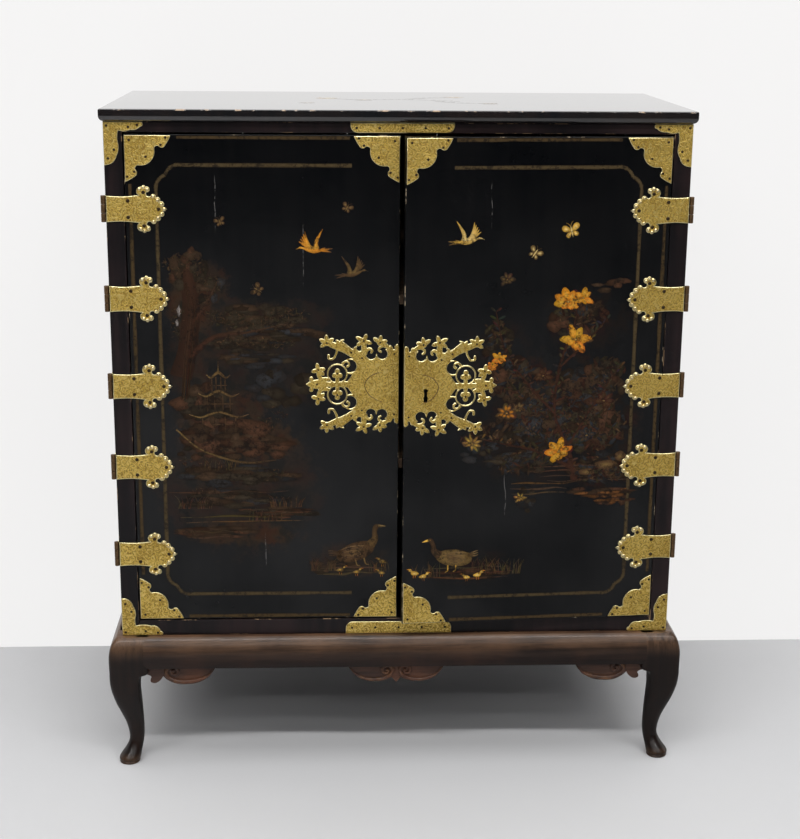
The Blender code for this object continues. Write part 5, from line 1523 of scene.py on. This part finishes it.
def pressed(name, pattern, start_x, side, middle_z):
    """A plate cut to a pattern; its front falls away a little at the rim and its back is flat."""
    spots, edges, falls, rims = [], [], [], []
    for level, fall in ((0.0, 0.0009), (-1.0, 0.0)):
        for loop in cut_lines(pattern.depth - level, pattern.xs, pattern.zs):
            kept = [loop[0]]
            for spot in loop[1:]:
                if math.dist(spot, kept[-1]) > 0.2 and math.dist(spot, loop[0]) > 0.2:
                    kept.append(spot)
            if len(kept) < 4:
                continue
            ring = list(range(len(spots), len(spots) + len(kept)))
            spots += kept
            falls += [fall] * len(kept)
            edges += list(zip(ring, ring[1:] + ring[:1]))
            if level == 0.0:
                rims += list(zip(ring, ring[1:] + ring[:1]))

    def spread(count):
        """Triangles over the first spots that lie on metal."""
        flat = [Vector(spot) for spot in spots[:count]]
        lines = [edge for edge in edges if max(edge) < count]
        places, _, faces, origins, _, _ = delaunay_2d_cdt(flat, lines, [], 0, 1e-6)
        kept = []
        for face in faces:
            x, z = sum((places[corner] for corner in face), Vector((0.0, 0.0))) / len(face)
            if pattern.at(x, z) < 0.0:
                kept.append([origins[corner][0] for corner in face if origins[corner]])
        return kept
    count = 1 + max(max(edge) for edge in rims)
    points = [(start_x + side * 0.001 * x, plate_face + fall, middle_z + 0.001 * z)
              for (x, z), fall in zip(spots, falls)]
    points += [(x, plate_back, z) for x, _, z in points[:count]]
    under = len(spots)
    faces = spread(under) + [[under + corner for corner in face] for face in spread(count)]
    faces += [[a, b, under + b, under + a] for a, b in rims]
    piece = new_piece(name, points, [face for face in faces if len(set(face)) > 2])
    mark_edges(piece)
    return piece


lock = Pattern(162.0, 90.0, 0.5)
lock.add(
    lock.shield([(0.0, -1.0), (0.0, 61.0), (5.0, 62.0), (11.0, 58.0), (17.0, 61.0), (22.0, 60.0), (36.0, 56.0),
                 (54.0, 58.0), (60.0, 58.0), (70.0, 56.0), (76.0, 47.0), (70.0, 37.0), (69.0, 27.0), (78.0, 17.0),
                 (84.0, 8.5), (87.0, 4.0), (87.0, -1.0)]))
add, pierce = lock.add, lock.pierce
for change, *stops in (
        (pierce, (28.4, 51.8, 8.7)),
        (pierce, (46.8, 51.2, 8.5)),
        (pierce, (33.0, 58.5, 3.4), (40.0, 57.5, 5.4), (42.0, 63.0, 6.0), (42.0, 70.0, 6.0)),
        (add, (37.6, 42.0, 2.6), (37.7, 46.5, 2.0), (37.7, 49.5, 1.2)),
        (add, (13.0, 57.0, 4.4), (19.0, 63.5, 3.6), (26.0, 68.5, 3.8), (31.8, 71.0, 4.4)),
        (add, (27.0, 66.0, 2.4), (33.0, 62.0, 2.2), (33.5, 57.5, 1.9), (30.5, 55.5, 1.9)),
        (add, (55.0, 57.0, 3.0), (49.5, 60.5, 2.6), (45.0, 57.5, 2.0), (46.5, 54.0, 1.9)),
        (add, (1.0, 58.0, 4.4), (4.0, 63.0, 3.8), (3.0, 66.0, 2.6)),
        (add, (58.0, 54.0, 5.4), (58.5, 62.0, 4.8), (59.0, 72.0, 4.6)),
        (add, (66.0, 45.0, 7.6), (76.0, 51.5, 7.0), (88.0, 58.5, 6.4), (103.0, 64.0, 5.6), (118.0, 70.0, 4.6)),
        (add, (84.0, 60.0, 4.0), (92.0, 67.5, 3.4), (97.0, 73.0, 2.2), (92.5, 75.5, 1.2)),
        (add, (70.0, 54.0, 3.6), (74.0, 59.5, 3.0), (71.5, 63.5, 1.6)),
        (add, (103.0, 61.0, 2.2), (105.0, 52.0, 1.9), (110.5, 43.5, 1.8), (117.0, 44.0, 1.9), (117.5, 49.0, 2.3)),
        (add, (80.5, 30.5, 13.6)),
        (pierce, (81.8, 31.0, 10.8)),
        (add, (94.0, 35.5, 2.2), (89.5, 39.0, 1.9), (84.5, 37.5, 1.7), (83.2, 33.0, 1.7), (86.0, 30.6, 2.3)),
        (add, (103.0, 18.0, 17.4)),
        (pierce, (103.0, 18.0, 14.8)),
        (add, (103.0, 17.6, 2.8), (103.0, 2.0, 3.6)),
        (add, (82.0, 0.0, 5.4), (110.0, 0.0, 4.4), (132.0, 0.0, 5.0)),
        (add, (117.0, 9.0, 2.4), (126.0, 7.0, 5.0), (134.0, 0.0, 8.0)),
        (add, (130.0, 8.0, 3.8), (134.0, 16.0, 3.4), (134.5, 23.0, 3.6)),
        (add, (134.0, 0.0, 8.6), (144.0, 0.0, 6.4), (155.0, 0.0, 0.6))):
    change(lock.run(*stops) if len(stops) > 1 else lock.disc(*stops[0]))
for angle in (90.0, 210.0, 330.0):
    across, up = math.cos(math.radians(angle)), math.sin(math.radians(angle))
    lock.add(lock.disc(103.0 + 5.0 * across, 17.6 + 5.0 * up, 4.4))
lock_sprays = (
    (31.8, 71.0, 5.4, ((24.4, 73.0), (38.8, 76.0), (31.0, 78.6), (26.0, 66.5))),
    (59.0, 74.0, 5.4, ((50.6, 71.0), (56.0, 81.0), (67.0, 78.0), (66.4, 69.0))),
    (120.6, 70.6, 5.4, ((113.4, 75.2), (121.0, 79.0), (128.0, 74.4), (127.0, 66.4))),
    (134.6, 24.8, 4.8, ((127.6, 25.6), (141.8, 22.6), (136.2, 31.6), (128.6, 19.0))),
    (13.0, 58.5, 3.0, ((14.5, 62.5),)), (145.6, 6.0, 2.6, ((146.6, 9.6),)),
    (96.0, 63.0, 3.6, ((98.5, 67.5), (101.5, 71.0))))
for x, z, middle_radius, leaves in lock_sprays:
    lock.add(lock.disc(x, z, middle_radius))
    for leaf_x, leaf_z in leaves:
        lock.add(
            lock.run((x, z, 2.6), (leaf_x, leaf_z, 3.5), (1.62 * leaf_x - 0.62 * x, 1.62 * leaf_z - 0.62 * z, 0.5)))
lock.pierce(lock.u)
lock_brass = chased_brass("lock_brass", 80.0)
lock_heads = (
    (8.0, 52.0), (31.8, 71.0), (59.0, 74.0), (120.6, 70.6), (134.6, 24.8), (137.0, 0.0), (103.0, 18.6),
    (62.0, 45.0), (80.0, 54.5))
cartouche = (
    (28.0, 21.0, 0.0003), (38.0, 18.5, 0.0006), (50.0, 12.0, 0.0007), (57.5, -2.0, 0.0007), (50.0, -18.0, 0.0007),
    (39.0, -26.0, 0.0006), (28.0, -31.0, 0.0003))
for side_name, side, middle in (("left", -1, 0.6878), ("right", 1, 0.6908)):
    body = side_name + "_door"
    edge_x = free_edges[body]
    mount = pressed(side_name + "_lock_plate_chased", lock, edge_x, side, middle)
    if side > 0:
        cut_away(mount, keyhole_cutters())
    rim_line = bead(side_name + "_lock_cartouche", [
        (edge_x + side * 0.001 * out, plate_face + 0.0002, middle + 0.001 * up, wide) for out, up, wide in cartouche])
    fix_brass(rim_line, body, barrel_bronze)
    fix_brass(mount, body, lock_brass, side_name + "_lock_plate")
    nails[body] += [(edge_x + side * 0.001 * out, middle + turn * 0.001 * up, 0.0018)
                    for out, up in lock_heads for turn in both(up)]


# The nails: small dark bronze pins with round heads that hold down every mount.
# All the heads on one body are made as one piece.
pattern = dome("nail_pattern", 0.0, 0.0, 0.0, 1.0, 0.33)
for body, spots in nails.items():
    heads = bmesh.new()
    for x, z, radius in spots:
        place = Matrix.Translation((x, plate_face + 0.0001, z)) @ Matrix.Scale(radius, 4)
        pattern.data.transform(place)
        heads.from_mesh(pattern.data)
        pattern.data.transform(place.inverted())
    mesh = bpy.data.meshes.new(body + "_nails")
    heads.to_mesh(mesh)
    heads.free()
    fix_brass(linked(body + "_nails", mesh), body, bronze)
bpy.data.objects.remove(pattern)


# The lock and the door bolt: forged and filed iron, brown with age, on the backs of the doors.
# Their own solids stay as they are and get the iron's finish.
iron, shader, place = new_finish("old_iron")
cloud = mottle(place, 60.0, 5.0, 0.6)
rusted = ease(mottle(place, 150.0, 6.0, 0.7), 0.50, 0.66)
clean = blend(cloud, (0.055, 0.052, 0.050), (0.13, 0.125, 0.12))
dress(shader, place, {
    "Base Color": blend(rusted * 0.8, clean, (0.10, 0.045, 0.022)), "Metallic": 0.9 - 0.6 * rusted,
    "Roughness": 0.38 + 0.2 * cloud + 0.25 * rusted}, 0.3, 0.0006, cloud + rusted)
for node in ("lock_case", "lock_bolt", "door_bolt"):
    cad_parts[node].data.materials.clear()
    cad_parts[node].data.materials.append(iron)
